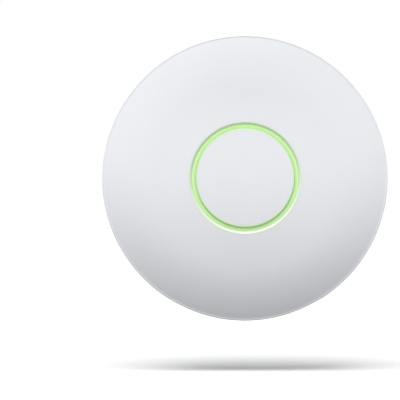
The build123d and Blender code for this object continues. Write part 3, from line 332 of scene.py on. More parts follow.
class Finish:
    """One material, made of nodes on the piece's own coordinates."""

    def __init__(self, name, metallic=0.0, ior=1.46, specular=0.5, glow=0.0, sheen=0.0):
        self.material = bpy.data.materials.new(name)
        self.material.use_nodes = True
        self.tree = self.material.node_tree
        self.shader = self.tree.nodes["Principled BSDF"]
        self.shader.inputs["Metallic"].default_value = metallic
        self.shader.inputs["IOR"].default_value = ior
        self.shader.inputs["Specular IOR Level"].default_value = specular
        self.shader.inputs["Emission Strength"].default_value = glow
        self.shader.inputs["Sheen Weight"].default_value = sheen
        self.place = self.node("ShaderNodeTexCoord", output="Object")

    def node(self, kind, settings=None, inputs=None, output=0):
        """Adds a node: its settings first, then the values or links of its sockets."""
        made = self.tree.nodes.new(kind)
        for key, value in (settings or {}).items():
            setattr(made, key, value)
        for key, value in (inputs or {}).items():
            if isinstance(value, Socket):
                self.tree.links.new(value.link, made.inputs[key])
            else:
                made.inputs[key].default_value = value
        return Socket(self, made.outputs[output])

    def set(self, **inputs):
        """Links or sets inputs of the shader, such as base_color=..., roughness=..."""
        for key, value in inputs.items():
            socket = self.shader.inputs[key.replace("_", " ").title()]
            if isinstance(value, Socket):
                self.tree.links.new(value.link, socket)
            else:
                socket.default_value = (*value, 1.0) if hasattr(value, "__len__") else value

    def axes(self):
        """The piece's own X, Y and Z as three values."""
        split = self.tree.nodes.new("ShaderNodeSeparateXYZ")
        self.tree.links.new(self.place.link, split.inputs[0])
        return [Socket(self, out) for out in split.outputs]

    def radius(self):
        """Distance from the object's turning axis."""
        x, _, z = self.axes()
        squared = x * x + z * z
        return squared.math("SQRT", squared)

    def noise(self, size, detail=2.0, roughness=0.5, stretch=(1.0, 1.0, 1.0)):
        """Cloudy values from 0 to 1, with lumps of about a size."""
        where = self.node(
            "ShaderNodeMapping", {"vector_type": "POINT"}, {"Vector": self.place, "Scale": stretch}
        )
        return self.node(
            "ShaderNodeTexNoise",
            {"noise_dimensions": "3D"},
            {"Vector": where, "Scale": 1.0 / size, "Detail": detail, "Roughness": roughness},
        )

    def cells(self, size, feature="F1"):
        """Values from the distance to scattered points about a size apart."""
        return self.node(
            "ShaderNodeTexVoronoi", {"feature": feature}, {"Vector": self.place, "Scale": 1.0 / size}
        )

    def ramp(self, value, low, high, start=0.0, end=1.0):
        """Goes smoothly from start to end as a value goes from low to high."""
        return self.node(
            "ShaderNodeMapRange",
            {"interpolation_type": "SMOOTHSTEP"},
            {"Value": value, "From Min": low, "From Max": high, "To Min": start, "To Max": end},
        )

    def mix(self, factor, first, second):
        """A colour between two colours."""
        colours = [c if isinstance(c, Socket) else (*c, 1.0) for c in (first, second)]
        return self.node(
            "ShaderNodeMix", {"data_type": "RGBA"}, {0: factor, 6: colours[0], 7: colours[1]}, output=2
        )

    def bump(self, height, depth, strength=1.0, under=None):
        """Relief of a depth in metres, laid over another relief if one is given."""
        inputs = {"Height": height, "Distance": depth, "Strength": strength}
        if under is not None:
            inputs["Normal"] = under
        return self.node("ShaderNodeBump", None, inputs)

    def rounded(self, radius):
        """Edges that catch the light as if they had a small radius."""
        return self.node("ShaderNodeBevel", {"samples": 6}, {"Radius": radius})


def shade(colour, factor):
    """A colour made darker or lighter."""
    return tuple(min(1.0, channel * factor) for channel in colour)


def moulded(name, colour, roughness, grain=0.35 * MM, depth=0.012 * MM, edge=0.0, **more):
    """Moulded plastic: fine spark-eroded grain, and slow drift of tone and gloss."""
    finish = Finish(name, **more)
    drift = finish.noise(22 * MM, detail=3.0)
    fine = finish.noise(grain, detail=3.0, roughness=0.6)
    finish.set(
        base_color=finish.mix(drift, shade(colour, 0.985), shade(colour, 1.012)),
        roughness=roughness - 0.03 + 0.04 * drift + 0.03 * fine,
        normal=finish.bump(fine, depth, under=finish.rounded(edge) if edge else None),
    )
    return finish


def sheet_metal(name, colour, roughness=0.32, edge=0.12 * MM):
    """Plated sheet: long rolling lines, faint spangle and fingerprints."""
    finish = Finish(name, metallic=1.0)
    lines = finish.noise(0.25 * MM, detail=2.0, stretch=(1.0, 1.0, 0.04))
    spangle = finish.cells(1.6 * MM)
    prints = finish.ramp(finish.noise(6 * MM, detail=4.0), 0.52, 0.72)
    finish.set(
        base_color=finish.mix(prints * 0.5 + lines * 0.3, shade(colour, 1.05), shade(colour, 0.82)),
        roughness=roughness + 0.10 * lines + 0.08 * prints + 0.05 * spangle,
        normal=finish.bump(lines, 0.006 * MM, under=finish.rounded(edge)),
    )
    return finish


# ---------------------------------------------------------------- finishes


def cover_plastic(name, colours, inward, outward):
    """Satin white plastic, with the light ring's green glow painted into its colour as a painted spill of
    light on both sides of the ring.
    """
    finish = moulded(name, colours.cover, 0.34, grain=0.30 * MM, depth=0.006 * MM)
    radius = finish.radius()
    base = finish.shader.inputs["Base Color"].links[0].from_socket
    # painted glow: the ring's green light is painted into the base colour, fading out over outward beyond
    # its brightest line and over inward inside it
    glow_spill_out = finish.ramp(radius, GLOW_R, GLOW_R + outward, 1.0, 0.0)
    inside = finish.ramp(radius, GLOW_R - inward, GLOW_R, 0.0, 1.0)
    tint = glow_spill_out.at_most(inside)
    finish.set(base_color=finish.mix(tint, Socket(finish, base), colours.glow_edge))
    return finish


def light_guide(colours):
    """Milky light guide, greenest beside the cap and paler outwards."""
    finish = Finish("light_guide", glow=0.17)
    radius = finish.radius()
    cloud = finish.noise(1.8 * MM, detail=2.0)
    across = finish.ramp(radius + (cloud - 0.5) * (0.15 * MM), CAP_R + 0.7 * MM, CAP_R + 3.0 * MM)
    glow = finish.mix(across, colours.glow_core, colours.glow_edge)
    finish.set(base_color=glow, emission_color=glow, roughness=0.30 + 0.06 * cloud)
    finish.set(normal=finish.bump(cloud, 0.02 * MM))
    return finish


def lamp():
    """Green lamp: yellow-green window in a white body, all on one circle."""
    finish = Finish("lamp", glow=0.6)
    lamp_circle = 35.9 * MM
    middle = finish.ramp(abs(finish.radius() - lamp_circle), 0.5 * MM, 0.9 * MM, 1.0, 0.0)
    cloud = finish.noise(0.5 * MM)
    body = finish.mix(middle, (0.80, 0.80, 0.76), (0.55, 0.90, 0.30))
    finish.set(base_color=body, emission_color=finish.mix(middle, (0, 0, 0), (0.35, 1.0, 0.20)))
    finish.set(roughness=0.35 + 0.15 * cloud)
    return finish


def cast_metal(colours):
    """Die-cast metal: sandy skin with darker grains, flow marks and small pitted hollows."""
    finish = Finish("cast_metal", metallic=1.0)
    sand = finish.noise(0.45 * MM, detail=4.0, roughness=0.65)
    flow = finish.noise(14 * MM, detail=4.0, stretch=(1.0, 1.0, 0.35))
    pits = finish.ramp(finish.cells(0.9 * MM), 0.05, 0.28)
    tone = finish.mix(flow, shade(colours.cast, 0.82), shade(colours.cast, 1.12))
    finish.set(
        base_color=finish.mix(sand * 0.35, tone, shade(colours.cast, 0.6)),
        roughness=0.44 + 0.14 * sand + 0.06 * flow,
        normal=finish.bump(sand + pits * 0.4, 0.05 * MM, under=finish.rounded(0.3 * MM)),
    )
    return finish


def label_film():
    """Silvery label film with plain printed bars and no words."""
    finish = Finish("label_film", ior=1.5)
    label_z = -33 * MM
    x, _, z = finish.axes()
    down = z - label_z
    rule = finish.ramp(abs(down.wrapped(4.0 * MM)), 0.45 * MM, 0.55 * MM, 1.0, 0.0)
    inside = finish.ramp(abs(down), 8.0 * MM, 8.1 * MM, 1.0, 0.0)
    left = finish.ramp(x, -17.0 * MM, -16.9 * MM)
    right = finish.ramp(x, 2.0 * MM, 2.1 * MM, 1.0, 0.0)
    border = finish.ramp(abs(x), 19.0 * MM, 19.1 * MM)
    ink = (rule * inside * left * right * 0.75).at_least(border * 0.4)
    cloud = finish.noise(8 * MM)
    film = finish.mix(cloud, (0.66, 0.67, 0.68), (0.72, 0.73, 0.74))
    finish.set(base_color=finish.mix(ink, film, (0.10, 0.11, 0.12)), roughness=0.38 + 0.1 * cloud)
    return finish


def circuit_board(colours):
    """Solder resist over copper: tracks, ground fill and small vias."""
    finish = Finish("circuit_board", ior=1.5)
    track_step, via_step = 0.9 * MM, 3.6 * MM
    x, _, z = finish.axes()
    block = finish.noise(9 * MM, detail=0.0)
    along_x = finish.ramp(abs(z.wrapped(track_step)), 0.16 * MM, 0.22 * MM, 1.0, 0.0)
    along_z = finish.ramp(abs(x.wrapped(track_step)), 0.16 * MM, 0.22 * MM, 1.0, 0.0)
    side = finish.ramp(block, 0.49, 0.51)
    tracks = along_x * side + along_z * (1 - side)
    fill = finish.ramp(finish.noise(13 * MM, detail=1.0), 0.52, 0.54)
    copper = tracks.at_least(fill)
    via_x, via_z = x.wrapped(via_step), z.wrapped(via_step)
    vias = finish.ramp(
        via_x * via_x + via_z * via_z, (0.28 * MM) ** 2, (0.36 * MM) ** 2, 1.0, 0.0
    ) * fill
    resist = finish.mix(copper, colours.board, shade(colours.board, 2.1))
    finish.set(
        base_color=finish.mix(vias, resist, (0.55, 0.45, 0.22)),
        roughness=0.30 + 0.10 * copper,
        metallic=vias * 0.8,
        normal=finish.bump(copper, 0.03 * MM),
    )
    return finish


def chip_black():
    """Moulded chip body: matt black with a fine glassy speckle and no marking."""
    finish = Finish("chip_black", ior=1.55)
    speck = finish.noise(0.18 * MM, detail=3.0, roughness=0.7)
    cloud = finish.noise(5 * MM)
    finish.set(
        base_color=finish.mix(speck, (0.012, 0.012, 0.013), (0.045, 0.045, 0.047)),
        roughness=0.52 + 0.12 * speck + 0.08 * cloud,
        normal=finish.bump(speck, 0.02 * MM),
    )
    return finish


def can_sleeve():
    """Capacitors: dark sleeve round the side and a bare scored end."""
    finish = Finish("can_sleeve", ior=1.5)
    can_x, between_z, apart = -31.0 * MM, -7.5 * MM, 5.5 * MM
    x, y, z = finish.axes()
    end = finish.ramp(y, -14.2 * MM, -13.9 * MM)
    stripe = finish.ramp(abs(x - can_x + 3.0 * MM), 0.8 * MM, 0.9 * MM, 1.0, 0.0)
    along = z - between_z
    score_x = finish.ramp(abs(abs(along) - apart), 0.18 * MM, 0.28 * MM, 1.0, 0.0)
    score_z = finish.ramp(abs(x - can_x), 0.18 * MM, 0.28 * MM, 1.0, 0.0)
    cloud = finish.noise(2 * MM)
    sleeve = finish.mix(stripe, (0.015, 0.03, 0.07), (0.42, 0.44, 0.46))
    tone = finish.mix(cloud, (0.60, 0.60, 0.60), (0.70, 0.70, 0.70))
    finish.set(
        base_color=finish.mix(end, sleeve, tone),
        metallic=end,
        roughness=0.34 + 0.1 * cloud,
        normal=finish.bump(0 - score_x.at_least(score_z) * end, 0.15 * MM),
    )
    return finish


def ceramic_parts():
    """Small ceramic parts: tan bodies between tinned ends."""
    finish = Finish("ceramic_parts", ior=1.6)
    part_step = 3.4 * MM
    x, _, _ = finish.axes()
    tone = finish.cells(part_step)
    ends = finish.ramp(abs(x.wrapped(part_step)), 0.45 * MM, 0.5 * MM)
    body = finish.mix(tone, (0.33, 0.22, 0.13), (0.52, 0.40, 0.27))
    finish.set(base_color=finish.mix(ends, body, (0.62, 0.62, 0.62)), metallic=ends, roughness=0.42)
    return finish


def heat_pad():
    """Soft heat pad: grey-blue, rubbery and slightly lumpy."""
    finish = Finish("heat_pad", ior=1.42, sheen=0.15)
    lump = finish.noise(1.2 * MM, detail=3.0)
    weave = finish.noise(0.3 * MM)
    finish.set(
        base_color=finish.mix(lump, (0.20, 0.26, 0.34), (0.28, 0.34, 0.43)),
        roughness=0.74 + 0.12 * weave,
        normal=finish.bump(lump + 0.3 * weave, 0.08 * MM),
    )
    return finish


def ferrite():
    """Pressed ferrite: charcoal, gritty, with a faint brown drift."""
    finish = Finish("ferrite", ior=1.6)
    grit = finish.noise(0.25 * MM, detail=4.0, roughness=0.7)
    drift = finish.noise(4 * MM)
    dark = finish.mix(drift, (0.030, 0.029, 0.029), (0.055, 0.047, 0.042))
    finish.set(
        base_color=finish.mix(grit * 0.5, dark, (0.09, 0.09, 0.09)),
        roughness=0.56 + 0.2 * grit,
        normal=finish.bump(grit, 0.04 * MM),
    )
    return finish


def gold_contacts():
    """Gold plating over bright nickel, a little duller where it is worn."""
    finish = Finish("gold_contacts", metallic=1.0)
    wear = finish.ramp(finish.noise(0.6 * MM, detail=3.0), 0.45, 0.7)
    line = finish.noise(0.1 * MM, stretch=(1.0, 1.0, 0.1))
    finish.set(
        base_color=finish.mix(wear, (0.90, 0.66, 0.27), (0.78, 0.60, 0.33)),
        roughness=0.18 + 0.16 * wear + 0.05 * line,
    )
    return finish


def screw_steel(colours):
    """Zinc-plated screws: fine turning marks and a faint warm drift."""
    finish = Finish("screw_steel", metallic=1.0)
    marks = finish.node(
        "ShaderNodeTexWave", {"bands_direction": "Y"}, {"Vector": finish.place, "Scale": 900.0}
    )
    drift = finish.noise(2.5 * MM, detail=3.0)
    warm = tuple(channel * tint for channel, tint in zip(colours.steel, (1.10, 1.04, 0.92)))
    finish.set(
        base_color=finish.mix(drift, shade(colours.steel, 1.02), warm),
        roughness=0.27 + 0.12 * drift + 0.05 * marks,
        normal=finish.bump(marks, 0.004 * MM, under=finish.rounded(0.12 * MM)),
    )
    return finish


def make_finishes(colours):
    """Every finish, under the name of the record's material slot."""
    made = [
        # the cover's lip and the cap's edge carry the ring's green glow as painted light in their colour
        cover_plastic("cover_plastic", colours, inward=1.0 * MM, outward=6.4 * MM),
        cover_plastic("cap_plastic", colours, inward=3.0 * MM, outward=6.4 * MM),
        light_guide(colours),
        lamp(),
        moulded("baffle_plastic", (0.80, 0.80, 0.80), 0.55, edge=0.2 * MM),
        moulded("rear_plastic", colours.rear, 0.46, grain=0.6 * MM, depth=0.03 * MM),
        moulded("bracket_plastic", colours.bracket, 0.48, grain=0.7 * MM, depth=0.04 * MM),
        moulded("finger_plastic", colours.finger, 0.38, grain=0.5 * MM, depth=0.02 * MM),
        moulded("socket_plastic", (0.022, 0.022, 0.024), 0.42, edge=0.15 * MM),
        moulded("switch_plastic", (0.030, 0.030, 0.033), 0.50, edge=0.1 * MM),
        moulded("plunger_plastic", (0.60, 0.06, 0.035), 0.40, edge=0.1 * MM),
        cast_metal(colours),
        label_film(),
        circuit_board(colours),
        chip_black(),
        can_sleeve(),
        ceramic_parts(),
        heat_pad(),
        ferrite(),
        gold_contacts(),
        screw_steel(colours),
        sheet_metal("tinned_steel", colours.steel),
        sheet_metal("crystal_can", shade(colours.steel, 1.15), roughness=0.24),
        sheet_metal("antenna_metal", (0.72, 0.70, 0.64), roughness=0.28),
    ]
    return {finish.material.name: finish.material for finish in made}


# ---------------------------------------------------------------- modelling


def begin():
    """Object mode, with nothing selected."""
    if bpy.context.object and bpy.context.object.mode != "OBJECT":
        bpy.ops.object.mode_set(mode="OBJECT")
    bpy.ops.object.select_all(action="DESELECT")


def only(piece):
    """Makes a piece the active one and the only one selected."""
    begin()
    piece.select_set(True)
    bpy.context.view_layer.objects.active = piece


def edit(piece):
    """Goes to edit mode with all of a piece selected."""
    only(piece)
    bpy.ops.object.mode_set(mode="EDIT")
    bpy.ops.mesh.select_all(action="SELECT")


def pick(piece, wanted):
    """Goes to edit mode with only those vertices selected whose place is wanted."""
    only(piece)
    bpy.ops.object.mode_set(mode="EDIT")
    bpy.ops.mesh.select_all(action="DESELECT")
    bpy.ops.mesh.select_mode(type="VERT")
    bpy.ops.object.mode_set(mode="OBJECT")
    for vertex in piece.data.vertices:
        vertex.select = wanted(vertex.co)
    bpy.ops.object.mode_set(mode="EDIT")


def draw_out(piece, wanted, shift):
    """Moves the wanted end of a piece by a shift, which stretches what joins it to the rest."""
    pick(piece, wanted)
    bpy.ops.transform.translate(value=shift)
    bpy.ops.object.mode_set(mode="OBJECT")


def apply_place(piece):
    """Moves a piece's place into its mesh, so that its object sits at the origin."""
    only(piece)
    bpy.ops.object.transform_apply(location=True, rotation=True, scale=True)


def polar(radius, angle):
    """Point of the face plane at a radius and an angle from +X, seen from the front."""
    return radius * cos(angle), radius * sin(angle)


def four(radius, start=0.0):
    """Four points a quarter turn apart, the first at an angle from +X."""
    return [polar(radius, start + quarter * pi / 2) for quarter in range(4)]


def arc(start, end, bulge, steps):
    """Points after start, up to end, on an arc that bulges to the left of the way by some distance."""
    run, rise = end[0] - start[0], end[1] - start[1]
    chord = hypot(run, rise)
    radius = (chord**2 / 4 + bulge**2) / (2 * bulge)
    offset = radius - bulge
    centre = (
        (start[0] + end[0]) / 2 + offset * rise / chord,
        (start[1] + end[1]) / 2 - offset * run / chord,
    )
    half = 2 * atan(2 * bulge / chord)
    points = []
    for step in range(1, steps + 1):
        swing = -2 * half * step / steps
        x, y = start[0] - centre[0], start[1] - centre[1]
        points.append((
            centre[0] + x * cos(swing) - y * sin(swing),
            centre[1] + x * sin(swing) + y * cos(swing),
        ))
    return points


def turned(name, outline, steps=TURN_STEPS, start=0.0, span=2 * pi, closed=True):
    """A closed (radius, height) outline turned about the axis, all round or from an angle over a span."""
    whole = span > 2 * pi - 1e-6
    places = []
    for radius, height in outline:
        x, z = polar(radius, start)
        places.append((x, -height, z))
    begin()
    bpy.ops.mesh.primitive_plane_add(size=MM, location=places[0])
    piece = bpy.context.object
    piece.name = piece.data.name = name
    bpy.ops.object.mode_set(mode="EDIT")
    bpy.ops.mesh.select_all(action="SELECT")
    bpy.ops.mesh.merge(type="CENTER")
    last = places[0]
    for place in places[1:] + (places[:1] if closed else []):
        shift = tuple(new - old for new, old in zip(place, last))
        bpy.ops.mesh.extrude_region_move(TRANSFORM_OT_translate={"value": shift})
        last = place
    bpy.ops.mesh.select_all(action="SELECT")
    bpy.ops.mesh.remove_doubles(threshold=1e-6)
    if not whole:
        bpy.ops.mesh.edge_face_add()
    bpy.ops.mesh.spin(
        steps=steps, angle=span, center=(0.0, 0.0, 0.0), axis=(0.0, 1.0, 0.0), use_auto_merge=whole
    )
    bpy.ops.mesh.select_all(action="SELECT")
    bpy.ops.mesh.remove_doubles(threshold=1e-6)
    bpy.ops.mesh.normals_make_consistent(inside=False)
    bpy.ops.object.mode_set(mode="OBJECT")
    apply_place(piece)
    return piece


def rods(places, radius, low_h, high_h, steps=SMALL_STEPS, top_radius=None):
    """Upright rods on places of the face plane, joined into one tool."""
    begin()
    made = []
    for x, z in places:
        bpy.ops.mesh.primitive_cone_add(
            vertices=steps,
            radius1=radius,
            radius2=radius if top_radius is None else top_radius,
            depth=high_h - low_h,
            location=(x, -(low_h + high_h) / 2, z),
            rotation=(pi / 2, 0.0, 0.0),
        )
        made.append(bpy.context.object)
    return joined(made)


def joined(pieces):
    """Joins pieces into the first of them."""
    only(pieces[0])
    for piece in pieces[1:]:
        piece.select_set(True)
    if len(pieces) > 1:
        bpy.ops.object.join()
    apply_place(pieces[0])
    return pieces[0]


def modify(piece, kind, **settings):
    """Adds a modifier with some settings, and applies it."""
    only(piece)
    modifier = piece.modifiers.new(kind.title(), kind)
    for key, value in settings.items():
        setattr(modifier, key, value)
    bpy.ops.object.modifier_apply(modifier=modifier.name)


def combine(piece, operation, *tools):
    """Adds tools to a piece, or cuts them away."""
    for tool in tools:
        modify(piece, "BOOLEAN", operation=operation, solver="MANIFOLD", object=tool)
        bpy.data.meshes.remove(tool.data)


def clean(piece, sliver=SLIVER):
    """Merges what a cut left doubled, and takes away slivers and loose bits."""
    edit(piece)
    bpy.ops.mesh.remove_doubles(threshold=sliver)
    bpy.ops.mesh.dissolve_degenerate(threshold=sliver)
    bpy.ops.mesh.delete_loose(use_faces=True)
    bpy.ops.object.mode_set(mode="OBJECT")


def smooth(piece):
    """Shades all but the sharp edges smooth, and straightens the shading of flat faces."""
    only(piece)
    bpy.ops.object.shade_smooth_by_angle(angle=SHARP)
    modify(piece, "WEIGHTED_NORMAL", keep_sharp=True)


def soften(piece, width, sharpest=SHARP, segments=3):
    """Rounds the sharp edges and shades the rest smooth."""
    edit(piece)
    bpy.ops.mesh.remove_doubles(threshold=2 * SLIVER)
    bpy.ops.mesh.dissolve_limited(angle_limit=radians(0.05))
    bpy.ops.object.mode_set(mode="OBJECT")
    modify(
        piece,
        "BEVEL",
        width=width,
        segments=segments,
        limit_method="ANGLE",
        angle_limit=sharpest,
        miter_outer="MITER_ARC",
        use_clamp_overlap=True,
    )
    smooth(piece)


def copied(piece, places, turns):
    """Copies of a piece, each at its own place and turn, joined. The first one is taken away."""
    copies = []
    for place, turned_by in zip(places, turns):
        only(piece)
        bpy.ops.object.duplicate(linked=False)
        copies.append(bpy.context.object)
        copies[-1].location = place
        copies[-1].rotation_euler = turned_by
    bpy.data.meshes.remove(piece.data)
    return joined(copies)


def settle(piece, node, body):
    """Puts a finished piece in the place of its CAD node, with that node's finish."""
    apply_place(piece)
    piece.name = piece.data.name = node + "_shell"
    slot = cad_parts[node].material_slots[0].material.name
    piece.data.materials.clear()
    piece.data.materials.append(bpy.data.materials[slot])
    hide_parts(node)
    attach(piece, body)


def dome(sizes):
    """The dome's two arcs, as a function from a radius and a depth below the face to a height."""
    edge_r = DISC_R - sizes.rim_land
    slope_sin, slope_cos = sin(sizes.turn_slope), cos(sizes.turn_slope)
    turn_r = DISC_R - sizes.turn_set
    flat_arc = turn_r / slope_sin
    turn_h = DEPTH - flat_arc * (1 - slope_cos)
    run, fall = edge_r - turn_r, turn_h - (DEPTH - sizes.drop)
    rim_arc = (run**2 + fall**2) / (2 * (fall * slope_cos - run * slope_sin))
    middle_r, middle_h = turn_r - rim_arc * slope_sin, turn_h - rim_arc * slope_cos

    def height(radius, under=0.0):
        if radius < (flat_arc - under) * slope_sin:
            return DEPTH - flat_arc + sqrt((flat_arc - under) ** 2 - radius**2)
        return middle_h + sqrt((rim_arc - under) ** 2 - (radius - middle_r) ** 2)

    return height


def spaced(start, end, steps):
    """Evenly spaced values from start to end, both counted."""
    return [start + (end - start) * step / steps for step in range(steps + 1)]


def peg_places(sizes):
    """Where the pegs go through the light ring's flange."""
    circle = CAP_R + sizes.ring_gap + sizes.ring_width + sizes.peg_set
    return [polar(circle, pi / 4 + 2 * pi * peg / sizes.pegs) for peg in range(sizes.pegs)]


def board_places(rear):
    """Where the board's screws are."""
    z = sqrt(rear.board_circle**2 - rear.board_x**2)
    return [(side * rear.board_x, end * z) for side in (-1, 1) for end in (-1, 1)]


# ---------------------------------------------------------------- operators


class PieceOperator:
    """What the operators share."""

    bl_options = {"REGISTER", "UNDO"}

    def execute(self, context):
        self.make(context.scene.access_point)
        begin()
        return {"FINISHED"}


class AP_OT_finishes(PieceOperator, bpy.types.Operator):
    """Make every finish and put it on the pieces that are shown as they come"""

    bl_idname = "access_point.finishes"
    bl_label = "Finishes"

    def make(self, point):
        plain = list(bpy.data.materials)
        for material in plain:
            material.name = "plain_" + material.name
        finishes = make_finishes(point.colours)
        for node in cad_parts.values():
            for holder in node.material_slots:
                holder.material = finishes[holder.material.name.removeprefix("plain_")]


class AP_OT_front_cover(PieceOperator, bpy.types.Operator):
    """Turn the domed cover, with its bosses and the pegs that hold the light ring"""

    bl_idname = "access_point.front_cover"
    bl_label = "Front Cover"

    def make(self, point):
        sizes, rear = point.cover, point.rear
        height = dome(sizes)
        skirt_in = DISC_R - sizes.skirt
        rim_h = DEPTH - sizes.drop
        seam_h = rim_h - sizes.skirt_length
        ring_out = CAP_R + sizes.ring_gap + sizes.ring_width
        foot_r = ring_out + sizes.ring_gap
        lip_r = foot_r + sizes.lip_slope
        outline = [(r, height(r)) for r in spaced(lip_r, DISC_R - sizes.rim_land, DOME_STEPS)]
        outline += [(DISC_R - sizes.rim_round, rim_h)]
        corner = (DISC_R, rim_h - sizes.rim_round)
        outline += arc(outline[-1], corner, QUARTER * sizes.rim_round, CORNER_STEPS)
        outline += [(DISC_R, seam_h), (skirt_in, seam_h)]
        outline += [(r, height(r, sizes.wall)) for r in spaced(skirt_in, foot_r, UNDER_STEPS)]
        outline += [(foot_r, RING_H + SEAT)]
        cover = turned("front_cover", outline)
        soften(cover, sizes.edge_round, sharpest=radians(10.0))
        screw_places = four(rear.post_circle)
        top_h = height(rear.post_circle, sizes.wall / 2)
        bosses = rods(screw_places, sizes.boss, BOSS_H, top_h)
        pilots = rods(screw_places, sizes.pilot, BOSS_H - OVER, BOSS_H + sizes.pilot_length)
        flange_h = height(FLANGE_R, sizes.wall) - SEAT - sizes.flange
        head_h = flange_h - sizes.peg_head_rise
        peg_top_h = height(ring_out + sizes.peg_set, sizes.wall / 2)
        pegs = rods(peg_places(sizes), sizes.peg, (head_h + flange_h) / 2, peg_top_h)
        heads = rods(peg_places(sizes), sizes.peg_head_end, head_h, flange_h, top_radius=sizes.peg_head)
        combine(cover, "UNION", bosses, pegs, heads)
        combine(cover, "DIFFERENCE", pilots)
        clean(cover)
        smooth(cover)
        settle(cover, "front_cover", "access_point")


class AP_OT_centre_cap(PieceOperator, bpy.types.Operator):
    """Turn the cap in the middle of the light ring"""

    bl_idname = "access_point.centre_cap"
    bl_label = "Centre Cap"

    def make(self, point):
        sizes = point.cover
        height = dome(sizes)
        base_h = height(CAP_R) - sizes.cap_wall
        rib_out = CAP_R - sizes.cap_rib - sizes.ring_gap
        rib_in = rib_out - sizes.cap_rib
        outline = [(r, height(r)) for r in spaced(0.0, CAP_R, CAP_STEPS)]
        outline += [(CAP_R, base_h), (rib_out, base_h), (rib_out, base_h - sizes.cap_rib_length)]
        outline += [(rib_in, base_h - sizes.cap_rib_length), (rib_in, base_h), (0.0, base_h)]
        cap = turned("centre_cap", outline, closed=False)
        soften(cap, sizes.cap_round, segments=5)
        settle(cap, "centre_cap", "access_point")


class AP_OT_light_ring(PieceOperator, bpy.types.Operator):
    """Turn the light ring, with its shelf, its flange and the guide that stands over the lamps"""

    bl_idname = "access_point.light_ring"
    bl_label = "Light Ring"

    def make(self, point):
        sizes = point.cover
        height = dome(sizes)
        base_h = height(CAP_R) - sizes.cap_wall
        ring_in = CAP_R + sizes.ring_gap
        ring_out = ring_in + sizes.ring_width
        shelf_r = CAP_R - sizes.cap_rib - sizes.ring_gap + SEAT
        flange_top = height(FLANGE_R, sizes.wall) - SEAT
        flange_h = flange_top - sizes.flange
        guide_in, guide_out = ring_in + sizes.guide_set, ring_out - sizes.guide_set
        outline = [
            (shelf_r, base_h),
            (ring_in, base_h),
            (ring_in, RING_H),
            (ring_out, RING_H),
            (ring_out, flange_top),
            (FLANGE_R, flange_top),
            (FLANGE_R, flange_h),
            (guide_out, flange_h),
            (guide_out, GUIDE_H),
            (guide_in, GUIDE_H),
            (guide_in, base_h - sizes.shelf),
            (shelf_r, base_h - sizes.shelf),
        ]
        ring = turned("light_ring", outline)
        holes = rods(peg_places(sizes), sizes.peg + SEAT, flange_h - OVER, flange_top + OVER)
        combine(ring, "DIFFERENCE", holes)
        soften(ring, sizes.ring_round, segments=2)
        settle(ring, "light_ring", "access_point")


